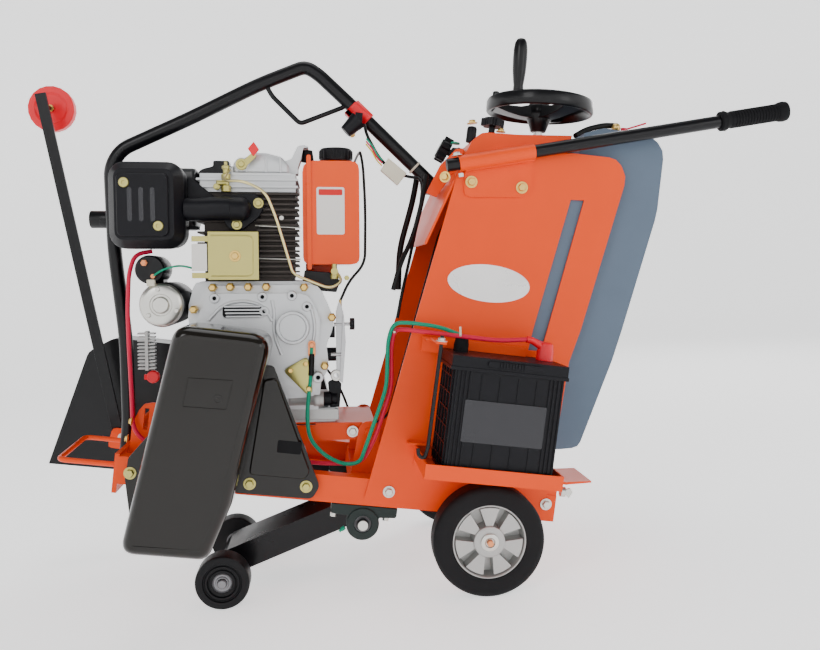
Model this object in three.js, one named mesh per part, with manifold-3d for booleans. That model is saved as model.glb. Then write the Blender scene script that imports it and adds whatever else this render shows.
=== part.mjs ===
// Walk-behind concrete saw: a diesel engine on a subframe drives a blade shaft through V-belts, and a
// handwheel at the operator's end raises the saw on its swinging front arm.
// Millimetres, +Z up, front at -X.
import * as THREE from "three";
import { mergeVertices } from "three/addons/utils/BufferGeometryUtils.js";
import Module from "manifold-3d";

const wasm = await Module();
wasm.setup();

// ---------------------------------------------------------------- driving dimensions
const BODY_PITCH = 12; // degrees the chassis is raised nose-up on its front arm
const ENGINE_PITCH = 7; // degrees the engine subframe lies nose-down in the chassis
const REAR_AXLE = { x: 127.35, y: 7.5, z: 100 }; // rear axle centre from the origin on the floor
const REAR_WHEEL = { radius: 100, rimRadius: 69, hubRadius: 28, bore: 12.6, inner: 188, outer: 238 };
const FRONT_WHEEL = { radius: 49.5, hubRadius: 15, bore: 8.6, inner: 96, outer: 138 };
const RAIL = { outer: 167.5, width: 30, wall: 4, low: 27, high: 76, front: -660, rear: 132 };
const PANEL = { inner: 168, outer: 172 };
const ARM_PIVOT = { x: -221, z: -7 };
const FRONT_AXLE = { x: -461, z: -149 };
const LIFT_PIN = { x: 90.5, z: 102 };
const SCREW = { topX: 46, topZ: 844, lowX: 52, lowZ: 744 };
const SUBFRAME_HINGE = { x: -223.7, z: 148.5 };
const SUBFRAME_HALF = 90;
const CRANK = { x: -250, z: 145 }; // in the subframe's own frame
const BLADE_SHAFT = { x: -545, z: -5 };
const PULLEY_RADIUS = 38;
const BELT_PLANE = { near: -262, far: -206 };
const GUARD_PLANE = { near: 215, far: 305 };
const HANDLE = { x: -129, z: 654, slope: 16.6, planeOffset: 190, tubeRadius: 11.4, retracted: 95 };
// The sight's hinge and the centre of its wheel.
const POINTER = { x: -731, y: 150, z: 38, wheelX: -949, wheelY: 211, wheelZ: 711 };
const BAIL_RADIUS = 12.9;
const GAP = 0.3;

// ---------------------------------------------------------------- materials
const paint = (color, roughness, metalness = 0) =>
  new THREE.MeshStandardMaterial({ color, roughness, metalness });
const orange = () => paint(0xff5a00, 0.35);
const black = () => paint(0x17181a, 0.4);
const rubber = () => paint(0x1c1c1d, 0.8);
const alloy = () => paint(0xb4b6b8, 0.45, 0.8);
const zinc = () => paint(0xc9b878, 0.35, 0.8);
const steel = () => paint(0x8a8c8f, 0.4, 0.9);
const red = () => paint(0xd8141c, 0.4);
const grey = () => paint(0x6d7a83, 0.5);

// ---------------------------------------------------------------- shapes
const radians = THREE.MathUtils.degToRad;

// A closed geometry as a solid that can be joined and cut.
function solidOf(geometry) {
  const flat = geometry.index ? geometry.toNonIndexed() : geometry;
  const points = new THREE.BufferGeometry();
  points.setAttribute("position", flat.getAttribute("position"));
  const merged = mergeVertices(points, 1e-4);
  const mesh = new wasm.Mesh({
    numProp: 3,
    vertProperties: merged.attributes.position.array,
    triVerts: new Uint32Array(merged.index.array),
  });
  return new wasm.Manifold(mesh);
}

function geometryOf(solid) {
  const mesh = solid.getMesh();
  const geometry = new THREE.BufferGeometry();
  geometry.setAttribute("position", new THREE.BufferAttribute(mesh.vertProperties, 3));
  geometry.setIndex(new THREE.BufferAttribute(mesh.triVerts, 1));
  return geometry;
}

// All shapes joined into one body.
function fuse(...shapes) {
  const joined = shapes.map(solidOf).reduce((sum, next) => sum.add(next));
  return geometryOf(joined);
}

// The first shape with all the others taken away.
function carve(shape, ...cutters) {
  const cut = cutters.map(solidOf).reduce((rest, next) => rest.subtract(next), solidOf(shape));
  return geometryOf(cut);
}

function block(x0, x1, y0, y1, z0, z1) {
  const box = new THREE.BoxGeometry(x1 - x0, y1 - y0, z1 - z0);
  return box.translate((x0 + x1) / 2, (y0 + y1) / 2, (z0 + z1) / 2);
}

// An outline in the XZ plane, given depth from y0 to y1.
function slab(outline, y0, y1, curveSegments = 2) {
  const depth = y1 - y0;
  const geometry = new THREE.ExtrudeGeometry(outline, { depth, bevelEnabled: false, curveSegments });
  return geometry.rotateX(Math.PI / 2).translate(0, y1, 0);
}

// A straight-sided outline. A point's third number rounds its corner, up to just under half of either side.
function outlineOf(points) {
  const shape = new THREE.Shape();
  points.forEach(([x, z, round = 0], i) => {
    const back = new THREE.Vector2(...points.at(i - 1)).sub({ x, y: z });
    const ahead = new THREE.Vector2(...points[(i + 1) % points.length]).sub({ x, y: z });
    const reach = Math.min(round, 0.48 * back.length(), 0.48 * ahead.length());
    back.setLength(reach);
    ahead.setLength(reach);
    const to = i ? "lineTo" : "moveTo";
    shape[to](x + back.x, z + back.y);
    if (reach) shape.quadraticCurveTo(x, z, x + ahead.x, z + ahead.y);
  });
  return shape;
}

const plate = (points, y0, y1, segments) => slab(outlineOf(points), y0, y1, segments);

// Cylinders along Y, X and Z.
function drumY(radius, y0, y1, x = 0, z = 0, sides = 16) {
  return new THREE.CylinderGeometry(radius, radius, y1 - y0, sides).translate(x, (y0 + y1) / 2, z);
}

function drumX(radius, x0, x1, y = 0, z = 0, sides = 16) {
  const drum = new THREE.CylinderGeometry(radius, radius, x1 - x0, sides).rotateZ(Math.PI / 2);
  return drum.translate((x0 + x1) / 2, y, z);
}

function drumZ(radius, z0, z1, x = 0, y = 0, sides = 14) {
  const drum = new THREE.CylinderGeometry(radius, radius, z1 - z0, sides).rotateX(Math.PI / 2);
  return drum.translate(x, y, (z0 + z1) / 2);
}

// A turned piece about Y: its profile is a closed list of [radius, y].
function turnedY(profile, sides = 20) {
  const points = profile.map(([r, y]) => new THREE.Vector2(r, y));
  points.push(points[0].clone());
  return new THREE.LatheGeometry(points, sides);
}

// A route of straight runs with rounded bends, read point by point.
class Route extends THREE.Curve {
  constructor(points, bend, bendSteps) {
    super();
    const at = points.map((p) => new THREE.Vector3(...p));
    this.stations = [at[0]];
    for (let i = 1; i < at.length - 1; i++) {
      const back = at[i - 1].clone().sub(at[i]);
      const ahead = at[i + 1].clone().sub(at[i]);
      const reach = Math.min(bend, back.length() * 0.48, ahead.length() * 0.48);
      const start = at[i].clone().add(back.setLength(reach));
      const end = at[i].clone().add(ahead.setLength(reach));
      const arc = new THREE.QuadraticBezierCurve3(start, at[i], end);
      this.stations.push(...arc.getPoints(bendSteps));
    }
    this.stations.push(at.at(-1));
  }
  getPoint(t) {
    const place = t * (this.stations.length - 1);
    const i = Math.min(Math.floor(place), this.stations.length - 2);
    return this.stations[i].clone().lerp(this.stations[i + 1], place - i);
  }
  getPointAt(t) {
    return this.getPoint(t);
  }
  getTangentAt(t) {
    const i = Math.round(t * (this.stations.length - 1));
    const here = this.stations[i];
    const back = this.stations[i - 1] ?? here;
    const ahead = this.stations[i + 1] ?? here;
    const into = here.clone().sub(back).normalize();
    return into.add(ahead.clone().sub(here).normalize()).normalize();
  }
}

// A round bar or tube along a bent route.
function rod(points, radius, { bend = radius * 4, sides = 12, bendSteps = 5 } = {}) {
  const route = new Route(points, bend, bendSteps);
  const section = new THREE.Shape();
  for (let i = 0; i < sides; i++) {
    const angle = (i / sides) * 2 * Math.PI;
    const to = i ? "lineTo" : "moveTo";
    section[to](radius * Math.cos(angle), radius * Math.sin(angle));
  }
  const options = { steps: route.stations.length - 1, extrudePath: route, bevelEnabled: false };
  return new THREE.ExtrudeGeometry(section, options);
}

// ---------------------------------------------------------------- assembly frames
const saw = new THREE.Group();
const body = new THREE.Group();
body.position.set(REAR_AXLE.x, REAR_AXLE.y, REAR_AXLE.z);
body.rotation.y = radians(BODY_PITCH);
saw.add(body);
const engine = new THREE.Group();
engine.position.set(SUBFRAME_HINGE.x, 0, SUBFRAME_HINGE.z);
engine.rotation.y = radians(-ENGINE_PITCH);
body.add(engine);

function add(parent, name, geometry, material) {
  const mesh = new THREE.Mesh(geometry, material);
  mesh.name = name;
  parent.add(mesh);
  return mesh;
}

// A named empty frame at a joint: its origin is the pivot, its local Y or Z the axis.
function pivot(parent, name, x, y, z) {
  const group = new THREE.Group();
  group.name = name;
  group.position.set(x, y, z);
  parent.add(group);
  return group;
}

const SIDES = [
  ["left", -1],
  ["right", 1],
];

// The same extent mirrored to one side of the centre plane, low value first.
const across = (side, inner, outer) => (side < 0 ? [-outer, -inner] : [inner, outer]);

// ---------------------------------------------------------------- chassis
function chassisRail(side) {
  const [y0, y1] = across(side, RAIL.outer - RAIL.width, RAIL.outer);
  const beam = block(RAIL.front, RAIL.rear, y0, y1, RAIL.low, RAIL.high);
  const hollowY = side < 0 ? [y0 + RAIL.wall, y1 + 1] : [y0 - 1, y1 - RAIL.wall];
  const reach = [RAIL.front + 8, RAIL.rear - 8];
  return carve(beam, block(...reach, ...hollowY, RAIL.low + RAIL.wall, RAIL.high - RAIL.wall));
}

// An upright that carries the rear end of the engine subframe on its rounded ear.
function subframePost(side) {
  const [y0, y1] = across(side, SUBFRAME_HALF + 2, SUBFRAME_HALF + 10);
  const { x, z } = SUBFRAME_HINGE;
  const upright = plate([[-248, 60], [-201, 60], [-203, z], [-244, z]], y0, y1);
  const bolt = across(side, SUBFRAME_HALF + 9, SUBFRAME_HALF + 17);
  return fuse(upright, drumY(20.5, y0, y1, x, z), drumY(9, ...bolt, x, z, 6));
}

// A slotted upright at the front: the subframe is bolted in its slot once the belts are tight.
function tensionPlate(side) {
  const [y0, y1] = across(side, SUBFRAME_HALF + 4, SUBFRAME_HALF + 10);
  const upright = plate([[-668, 30], [-600, 30], [-600, 163], [-640, 163, 16], [-656, 120, 6], [-656, 80]],
    y0, y1);
  return carve(upright, block(-636, -628, y0 - 1, y1 + 1, 112, 152));
}

// The plate that carries one fixed rear wheel, with its stub axle.
function wheelHanger(side) {
  const [y0, y1] = across(side, RAIL.outer - 10, RAIL.outer);
  const hanger = plate([[-46, 40], [46, 40], [22, -14, 12], [-22, -14, 12]], y0, y1);
  const axle = drumY(REAR_WHEEL.bore - 0.6, ...across(side, RAIL.outer - 8, REAR_WHEEL.outer - 8));
  return fuse(hanger, axle);
}

function chassisFrame() {
  const half = RAIL.outer - 2;
  const frontPlate = block(RAIL.front - 6, RAIL.front + 2, -half, half, 10, 80);
  const midTube = block(-248, -202, -half, half, 34, 70);
  const rearPlate = carve(block(RAIL.rear - 6, RAIL.rear, -half, half, 34, 90),
    block(120, 140, -16, 16, 33, 91));
  const deck = carve(block(120, 150, -half, half, 98, 103), block(119, 138, -16, 16, 97, 104));
  const deckTongue = plate([[140, 98], [150, 98], [196, 106], [196, 109], [150, 103], [140, 103]], -164,
    -60);
  const deckBrace = block(98, RAIL.rear, -half, -half + 5, 70, 100);
  const deckBraceRight = block(98, RAIL.rear, half - 5, half, 70, 100);
  const shaftMounts = SIDES.map(([, s]) => block(-602, -488, ...across(s, 137, RAIL.outer - 4), 27, 37));
  const loop = rod([[-662, -98, 43], [-779, -98, 43], [-786, 98, 43], [-662, 98, 43]], 4.8,
    { bend: 16, sides: 8, bendSteps: 2 });
  const lugPoints = [[-662, 12], [-662, 60], [-744, 58, 8], [-750, 16, 8]];
  const pointerLug = SIDES.map(([, s]) => plate(lugPoints, 150 + s * 9 - 2, 150 + s * 9 + 2));
  const bailFoot = block(-696, -664, -14, 14, 37, 43);
  return fuse(
    ...SIDES.map(([, s]) => chassisRail(s)),
    ...SIDES.map(([, s]) => subframePost(s)),
    ...SIDES.map(([, s]) => tensionPlate(s)),
    ...SIDES.map(([, s]) => wheelHanger(s)),
    ...shaftMounts,
    ...pointerLug,
    frontPlate, midTube, rearPlate, deck, deckTongue, deckBrace, deckBraceRight, loop, bailFoot,
  );
}

// ---------------------------------------------------------------- operator column
const handleAngle = radians(HANDLE.slope);
const alongHandle = (distance) => [
  HANDLE.x + distance * Math.cos(handleAngle),
  HANDLE.z + distance * Math.sin(handleAngle),
];

// A round bar along the handle's own axis, from one distance to another.
function handleBar(radius, from, to, side, sides = 16) {
  const [x, z] = alongHandle((from + to) / 2);
  const bar = new THREE.CylinderGeometry(radius, radius, to - from, sides).rotateZ(-Math.PI / 2);
  return bar.rotateY(-handleAngle).translate(x, side * HANDLE.planeOffset, z);
}

function sidePanel(side) {
  const [y0, y1] = across(side, PANEL.inner, PANEL.outer);
  const sheet = plate(
    [[-224, 42], [-88, 42], [-60, 30], [104, 30, 8], [112, 80], [121, 327], [135, 388], [184, 676, 24],
      [160, 705, 14], [79, 703, 8], [-122, 667, 10]], y0, y1);
  const slot = plate([[42, 340], [66, 341], [73, 381], [110, 622], [85, 620], [46, 378]], y0 - 1, y1 + 1);
  const wheelRoom = drumY(32, y0 - 1, y1 + 1);
  const web = across(side, PANEL.outer - 1, HANDLE.planeOffset);
  const bracket = plate([[-116, 658], [4, 692], [10, 622, 14], [-6, 612, 8], [-111, 599, 12]], ...web);
  const bracketRoom = plate([[-124, 640], [14, 680], [24, 590], [-124, 580]],
    ...across(side, PANEL.outer + 5, 200));
  const socket = carve(handleBar(13.7, 0, 137, side), handleBar(HANDLE.tubeRadius + 0.3, -5, 142, side));
  const support = carve(bracket, bracketRoom, handleBar(HANDLE.tubeRadius + 0.3, -30, 200, side));
  return fuse(carve(sheet, slot, wheelRoom), support, socket);
}

function frontCover() {
  const half = PANEL.inner - GAP;
  const sheet = [[-170, 509], [-166, 508], [-119, 652], [-123, 654]];
  return plate(sheet, -half, half);
}

function topConsole() {
  const half = 118;
  const outer = plate([[-118, 660], [-99, 709, 6], [-83, 728, 10], [-12, 733], [88, 745], [80, 690],
    [-60, 664]], -half, half);
  const inner = plate([[-112, 655], [-95, 706], [-81, 724], [-12, 729], [84, 740.5], [77, 680],
    [-60, 650]], -half + 4, half - 4);
  const [x, z] = [50, 744];
  const screwHole = drumZ(13.5, z - 30, z + 20, x, 0);
  const skirt = SIDES.map(([, s]) => block(-60, 60, ...across(s, half - 4, PANEL.inner - GAP), 690, 694));
  return fuse(carve(outer, inner, screwHole), ...skirt);
}

function waterTank() {
  const half = PANEL.inner - 12;
  const moulding = plate(
    [[0, 170, 12], [123, 160, 10], [165, 168, 12], [208, 338], [219, 396], [254, 604], [256, 626],
      [254, 735, 24],
      [226, 758, 16], [135, 759], [100, 745], [90, 690], [70, 620], [25, 340]], -half, half);
  const screwGroove = plate([[-20, 150], [114, 150], [88, 800], [-20, 800]], -34, 34);
  const neck = drumZ(24, 750, 764, 190, 80);
  return fuse(carve(moulding, screwGroove), neck);
}

function waterValve() {
  const valveBody = drumX(9, 168, 214, -60, 770, 12);
  const foot = drumZ(8, 759.4, 775, 190, -60, 12);
  const ball = new THREE.SphereGeometry(9, 14, 8).translate(190, -60, 784);
  return fuse(valveBody, foot, ball, drumX(11, 214, 224, -60, 770, 6));
}

function valveLever() {
  const hub = drumZ(6, 0, 5, 0, 0, 12);
  const blade = block(0, 46, -5, 5, 0, 3).rotateY(radians(-24));
  return fuse(hub, blade);
}

// ---------------------------------------------------------------- battery
const BATTERY = { x0: -112, x1: 72, y0: -310, y1: -183, z0: 131, z1: 307, lidZ: 329 };

function batteryTray() {
  const base = block(-143, 90, -320, -172.4, 122, 126);
  const lips = [
    block(-143, 90, -320, -317, 122, 147),
    block(-143, -140, -320, -172.4, 122, 147),
    block(87, 90, -320, -172.4, 122, 147),
    block(-143, 90, -175.4, -172.4, 110, 147),
  ];
  return fuse(base, ...lips);
}

function batteryCase() {
  const b = BATTERY;
  const jar = block(b.x0, b.x1, b.y0, b.y1, 126 + GAP, b.z1 + 1);
  const lid = block(b.x0 - 7, b.x1 + 5, b.y0 - 4, b.y1 + 4, b.z1, b.lidZ);
  const ribs = [];
  for (let x = b.x0 + 4; x < b.x0 + 26; x += 7) ribs.push(block(x, x + 3, b.y0 - 2.5, b.y0 + 1, 140, b.z1));
  for (let x = b.x1 - 24; x < b.x1 - 2; x += 7) ribs.push(block(x, x + 3, b.y0 - 2.5, b.y0 + 1, 140, b.z1));
  const posts = [drumZ(9, b.lidZ - 1, b.lidZ + 14, -92, -226, 16),
    drumZ(9, b.lidZ - 1, b.lidZ + 14, 56, -226, 16)];
  return fuse(jar, lid, ...ribs, ...posts);
}

// ---------------------------------------------------------------- engine subframe and engine
function engineSubframe() {
  const rails = SIDES.map(([, s]) => block(-425, 8, ...across(s, SUBFRAME_HALF - 8, SUBFRAME_HALF), -16,
    13));
  const ears = SIDES.map(([, s]) => drumY(16, ...across(s, SUBFRAME_HALF - 8, SUBFRAME_HALF), 0, 0));
  const rearDeck = block(-100, 12, -SUBFRAME_HALF, SUBFRAME_HALF, 12, 17);
  const bedPlates = [
    block(-360, -300, -SUBFRAME_HALF, SUBFRAME_HALF, 12, 17),
    block(-425, -408, -SUBFRAME_HALF, SUBFRAME_HALF, 12, 17),
    block(-425, -419, -SUBFRAME_HALF, SUBFRAME_HALF, -16, 30),
  ];
  return fuse(...rails, ...ears, rearDeck, ...bedPlates);
}

function crankcase() {
  const casting = plate([[-330, 52], [-318, 40], [-95, 40], [-84, 130], [-70, 200], [-84, 262, 10],
    [-110, 284, 10],
    [-318, 284, 12], [-330, 240]], -84, 108);
  const feet = [block(-352, -300, -80, 80, 17 + GAP, 44), block(-138, -62, -80, 80, 17 + GAP, 44)];
  const filter = drumX(16.5, -145, -76, -62, 60);
  return fuse(casting, ...feet, filter);
}

// The cast cover that closes the crankcase on the drive side.
function timingCover() {
  const y1 = -84 - GAP;
  const face = plate([[-328, 234, 16], [-306, 250], [-292, 276, 10], [-92, 278, 14], [-74, 240],
    [-62, 208, 16],
    [-78, 166], [-74, 124, 10], [-104, 70, 14], [-310, 62, 20]], -112, y1);
  const raised = plate([[-308, 226, 10], [-284, 262, 12], [-110, 262, 16], [-88, 214, 14], [-96, 150],
    [-112, 92, 16],
    [-300, 84, 20]], -121, -100);
  const idlerBoss = drumY(30, -127, -110, -139, 200);
  const idlerFace = drumY(24, -130, -120, -139, 200);
  const shaftBoss = drumY(38, -132, -110, CRANK.x, CRANK.z);
  const grille = block(-265, -194, -125, -117, 219, 241);
  const bolts = [[-281, 270], [-250, 271], [-218, 271], [-186, 271], [-118, 270], [-69, 216], [-81, 129],
    [-313, 232]];
  const heads = bolts.map(([x, z]) => drumY(6.5, -118, -100, x, z, 6));
  const shaftRoom = drumY(17, -140, -70, CRANK.x, CRANK.z);
  return carve(fuse(face, raised, idlerBoss, idlerFace, shaftBoss, grille, ...heads), shaftRoom);
}

function cylinderBarrel() {
  const core = block(-300, -140, -76, 64, 284 + GAP, 448);
  const fins = [];
  for (let i = 0; i < 8; i++) fins.push(block(-312, -130, -84, 72, 292 + i * 20, 296 + i * 20));
  const pushrodCover = block(-289, -200, -112, -70, 288, 372);
  return fuse(core, ...fins, pushrodCover);
}

function cylinderHead() {
  const base = block(-306, -132, -80, 68, 448 + GAP, 482);
  const fins = [0, 1].map((i) => block(-312, -128, -86, 74, 456 + i * 13, 460 + i * 13));
  const rockerCover = plate([[-246, 480], [-143, 480], [-146, 502, 8], [-176, 519, 8], [-206, 519, 8],
    [-244, 500, 8]], -74, 40);
  const injectorClamp = block(-258, -246, -76, -60, 470, 494);
  return fuse(base, ...fins, rockerCover, injectorClamp);
}

function airCleaner() {
  const lid = plate([[-460, 343, 29], [-328, 343, 29], [-328, 497, 29], [-460, 497, 29]], -140, -96);
  const back = plate([[-456, 347, 27], [-332, 347, 27], [-332, 493, 27], [-456, 493, 27]], -98, -52);
  const raised = plate([[-441, 363, 14], [-351, 363, 14], [-351, 473, 14], [-441, 473, 14]], -145, -138);
  const slots = [-416, -397, -378].map((x) => block(x - 4, x + 4, -147, -135, 390, 448));
  const mount = block(-345, -312 - GAP, -62, -40, 380, 386);
  return fuse(carve(fuse(lid, back, raised), ...slots), mount);
}

// A short pipe from the air cleaner's side into a flat manifold on the head.
function intakeDuct() {
  const pipe = drumX(22, -328 + GAP, -290, -110, 413, 20);
  const manifold = plate([[-303, 441, 8], [-200, 441, 8], [-191, 420, 6], [-198, 400, 8], [-225, 384, 8],
    [-250, 384, 8],
    [-303, 394, 8]], -134, -86 - GAP, 3);
  return fuse(pipe, manifold);
}

function muffler() {
  const drum = drumX(62, -470, -330, 66, 446, 20);
  const flange = drumX(30, -334, -312, 30, 464, 16);
  const outlet = drumX(17, -532, -460, 38, 404, 16);
  return carve(fuse(drum, flange, outlet), drumX(14, -540, -505, 38, 404, 16));
}

function fuelTank() {
  const shell = plate([[-120, 315, 14], [-14, 315, 14], [-14, 508, 16], [-120, 508, 22]], -75, 150, 3);
  const seam = plate([[-112, 305, 6], [-104, 305, 3], [-104, 518, 3], [-112, 518, 6]], -80, 155, 2);
  const neck = drumZ(22, 505, 516, -56, 0, 16);
  const strap = block(-118, -60, 80, 100, 284 + GAP, 318);
  return fuse(shell, seam, neck, strap);
}

const knurledCap = (radius, height) => fuse(drumZ(radius, 0, height, 0, 0, 20),
  block(-radius - 1, radius + 1, -3, 3, 0, height - 2));

function blowerHousing() {
  const y0 = 108 + GAP;
  const scroll = drumY(118, y0, 176, CRANK.x, CRANK.z + 8, 22);
  const duct = plate([[-330, 160], [-150, 160], [-140, 300], [-310, 300]], y0, 150);
  const cap = drumY(84, 170, 202, CRANK.x, CRANK.z + 8, 20);
  const inlets = [];
  for (let i = 0; i < 8; i++) {
    const angle = (i / 8) * 2 * Math.PI;
    const slot = block(38, 72, 190, 210, -6, 6).rotateY(angle);
    inlets.push(slot.translate(CRANK.x, 0, CRANK.z + 8));
  }
  return carve(fuse(scroll, duct, cap), ...inlets);
}

function starterMotor() {
  const motor = drumY(41, -112, 36, -374, 242, 28);
  const nose = drumY(30, -116, -110, -374, 242, 24);
  const solenoid = drumY(26, -104, -10, -396, 306, 20);
  const bridge = block(-402, -378, -60, -20, 262, 296);
  const mount = block(-374, -330.6, -10, 30, 214, 262);
  return fuse(motor, nose, solenoid, bridge, mount);
}

function decompressionLever() {
  const hub = drumY(10, -6, 0, 0, 0, 16);
  const arm = plate([[-4, 4], [2, -3], [26, 16], [25, 34], [17, 34], [18, 20]], -5, -1);
  return fuse(hub, arm);
}

// ---------------------------------------------------------------- belt drive and blade shaft
function vPulley(radius, bore) {
  const { near, far } = BELT_PLANE;
  const grooves = 2;
  const profile = [[bore, near - 4], [radius, near - 4]];
  const pitch = (far - near) / grooves;
  for (let i = 0; i < grooves; i++) {
    const y = near + i * pitch;
    profile.push([radius, y], [radius - 9, y + 4], [radius - 9, y + pitch - 8], [radius, y + pitch - 4]);
  }
  profile.push([radius, far], [bore, far]);
  return turnedY(profile);
}

// Engine pulley on the visible end of the crankshaft.
function enginePulley() {
  return fuse(vPulley(PULLEY_RADIUS, 4), drumY(14, BELT_PLANE.near - 10, -86, 0, 0, 20));
}

// The belt set as one closed band round both pulleys, a little clear of their rims.
function driveBelts(topX, topZ) {
  const run = Math.hypot(topX - BLADE_SHAFT.x, topZ - BLADE_SHAFT.z);
  const band = (radius) => {
    const shape = new THREE.Shape();
    shape.absarc(0, 0, radius, -Math.PI / 2, Math.PI / 2, false);
    shape.absarc(-run, 0, radius, Math.PI / 2, 1.5 * Math.PI, false);
    shape.closePath();
    return shape;
  };
  const belt = carve(slab(band(PULLEY_RADIUS + 5), BELT_PLANE.near + 2, BELT_PLANE.far - 6, 12),
    slab(band(PULLEY_RADIUS + 1), BELT_PLANE.near - 5, BELT_PLANE.far + 5, 12));
  const lean = Math.atan2(topZ - BLADE_SHAFT.z, topX - BLADE_SHAFT.x);
  return belt.rotateY(-lean).translate(topX, 0, topZ);
}

function bladeShaft() {
  const shaft = drumY(15, -276, 265, 0, 0, 16);
  const innerFlange = drumY(52, 240, 250, 0, 0, 20);
  return fuse(shaft, innerFlange);
}

// The outer flange and its nut, which clamp a blade against the inner flange.
function bladeFlange() {
  const flange = turnedY([[15.4, 253.6], [52, 253.6], [50, 263], [30, 267], [15.4, 267]], 20);
  const nut = drumY(23, 266, 284, 0, 0, 6);
  return carve(fuse(flange, nut), drumY(15.4, 249, 269, 0, 0, 24));
}

// A pillow block that hangs from the chassis, its bearing on the given axis.
function pillowBlock(x, z, topZ, y0, y1, bore, radius, halfWidth) {
  const housing = drumY(radius, y0, y1, x, z, 20);
  const foot = plate([[x - halfWidth, topZ - 14, 5], [x - radius, topZ - 16], [x + radius, topZ - 16],
    [x + halfWidth, topZ - 14, 5], [x + halfWidth, topZ], [x - halfWidth, topZ]], y0, y1);
  const cheeks = plate([[x - radius * 0.94, z - 4], [x + radius * 0.94, z - 4], [x + radius, topZ - 6],
    [x - radius, topZ - 6]], y0, y1);
  return carve(fuse(housing, foot, cheeks), drumY(bore, y0 - 1, y1 + 1, x, z, 20));
}

function beltGuard() {
  const outline = (inset) => [[-570 + inset, 325 - inset, 18], [-412 - inset, 325 - inset, 18],
    [-449 - inset, 40], [-470 - inset, -38, 16], [-480 - inset, -57 + inset, 10],
      [-620 + inset, -57 + inset, 14]];
  const box = carve(plate(outline(0), -292, -176), plate(outline(4), -288, -170));
  const flange = plate([[-430, 260, 8], [-408, 262, 8], [-306, 58, 16], [-318, 34, 12], [-450, 33]], -180,
    -176);
  const leftFlange = plate([[-590, 150], [-640, 76, 8], [-640, 40, 10], [-622, -40], [-600, -50]], -180,
    -176);
  const raised = plate([[-424, 236, 6], [-404, 244, 8], [-326, 84, 12], [-334, 72, 8], [-430, 72, 8]],
    -190, -178);
  const shell = fuse(box, flange, leftFlange, raised);
  return carve(shell, plate(outline(4), -288, -170));
}

function bladeGuard() {
  const outline = (inset) => [[-888 + inset, -50], [-828 + inset, 204 - inset * 0.4, 10],
    [-776, 240 - inset, 10],
    [-330, 240 - inset, 40], [-212 - inset, -50]];
  const { near, far } = GUARD_PLANE;
  const cavity = outline(3).map(([x, z, r]) => [x, z === -50 ? -60 : z, r]);
  const shell = carve(plate(outline(0), near, far), slab(outlineOf(cavity),
    near + 3, far - 3));
  const shaftRoom = fuse(drumY(60, near - 5, near + 5, BLADE_SHAFT.x, BLADE_SHAFT.z),
    block(-605, -485, near - 5, near + 5, -60, -8));
  return carve(shell, shaftRoom);
}

// ---------------------------------------------------------------- front arm and wheels
// Built about the arm's pivot, with the wheels' axle ahead and the lift lever behind.
function frontArm() {
  const ax = FRONT_AXLE.x - ARM_PIVOT.x;
  const az = FRONT_AXLE.z - ARM_PIVOT.z;
  const lx = LIFT_PIN.x - ARM_PIVOT.x;
  const lz = LIFT_PIN.z - ARM_PIVOT.z;
  const beam = plate([[ax - 4, az + 34], [-4, 22], [10, -20], [-26, -46], [ax + 30, az - 4],
    [ax + 12, az - 12]], -54, 54);
  const shaft = drumY(9.9, -176, 176, 0, 0, 20);
  const sleeve = drumY(21, -104, 104, 0, 0, 20);
  const axleSleeve = drumY(16, -90, 90, ax, az, 20);
  const axle = drumY(8, -142, 142, ax, az, 16);
  const lean = Math.atan2(lz, lx);
  const reach = Math.hypot(lx, lz);
  const lever = carve(
    plate([[0, -18], [reach + 32, -16, 12], [reach + 32, 16, 12], [0, 20]], -6, 6),
    block(reach - 34, reach + 24, -8, 8, -8, 8),
  );
  return fuse(beam, shaft, sleeve, axleSleeve, axle, lever.rotateY(-lean));
}

function frontWheel(side) {
  const { radius, hubRadius, bore, inner, outer } = FRONT_WHEEL;
  const profile = [[bore, inner], [hubRadius, inner], [20, inner + 6], [34, inner + 4],
    [radius - 3, inner], [radius, inner + 3],
    [radius, outer - 3], [radius - 3, outer], [34, outer - 1], [33, outer - 5], [18, outer - 5],
      [bore, outer - 2]];
  return turnedY(side < 0 ? profile.map(([r, y]) => [r, -y]).reverse() : profile, 20);
}

function rearTyre(side) {
  const { radius, rimRadius, inner, outer } = REAR_WHEEL;
  const profile = [[rimRadius, inner], [radius - 7, inner], [radius, inner + 7], [radius, outer - 7],
    [radius - 7, outer],
    [rimRadius, outer]];
  return turnedY(side < 0 ? profile.map(([r, y]) => [r, -y]).reverse() : profile, 26);
}

// A cast rim: raised fan spokes with pockets between them.
function rearRim(side) {
  const { rimRadius, hubRadius, bore, inner, outer } = REAR_WHEEL;
  const r = rimRadius - GAP;
  const profile = [[bore, inner + 3], [hubRadius, inner + 3], [hubRadius, inner + 14], [r - 6, inner + 14],
    [r - 6, inner + 1],
    [r, inner + 1], [r, outer - 1], [r - 4, outer - 1], [r - 5, outer - 16], [hubRadius, outer - 16],
      [hubRadius, outer - 2],
    [16, outer - 2], [16, outer - 6], [bore, outer - 6]];
  const dish = turnedY(side < 0 ? profile.map(([a, y]) => [a, -y]).reverse() : profile, 26);
  const count = 7;
  const [y0, y1] = across(side, outer - 18, outer - 3);
  const spokes = [];
  for (let i = 0; i < count; i++) {
    const fan = plate([[24, -7], [r - 3, -14], [r - 3, 14], [24, 7]], y0, y1);
    spokes.push(fan.rotateY((i / count) * 2 * Math.PI + radians(-90)));
  }
  return fuse(dish, ...spokes);
}

// ---------------------------------------------------------------- depth control
// The screw's own frame has its origin under the handwheel and its Z along the screw, pointing up.
const screwLean = Math.atan2(SCREW.topX - SCREW.lowX, SCREW.topZ - SCREW.lowZ);

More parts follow.
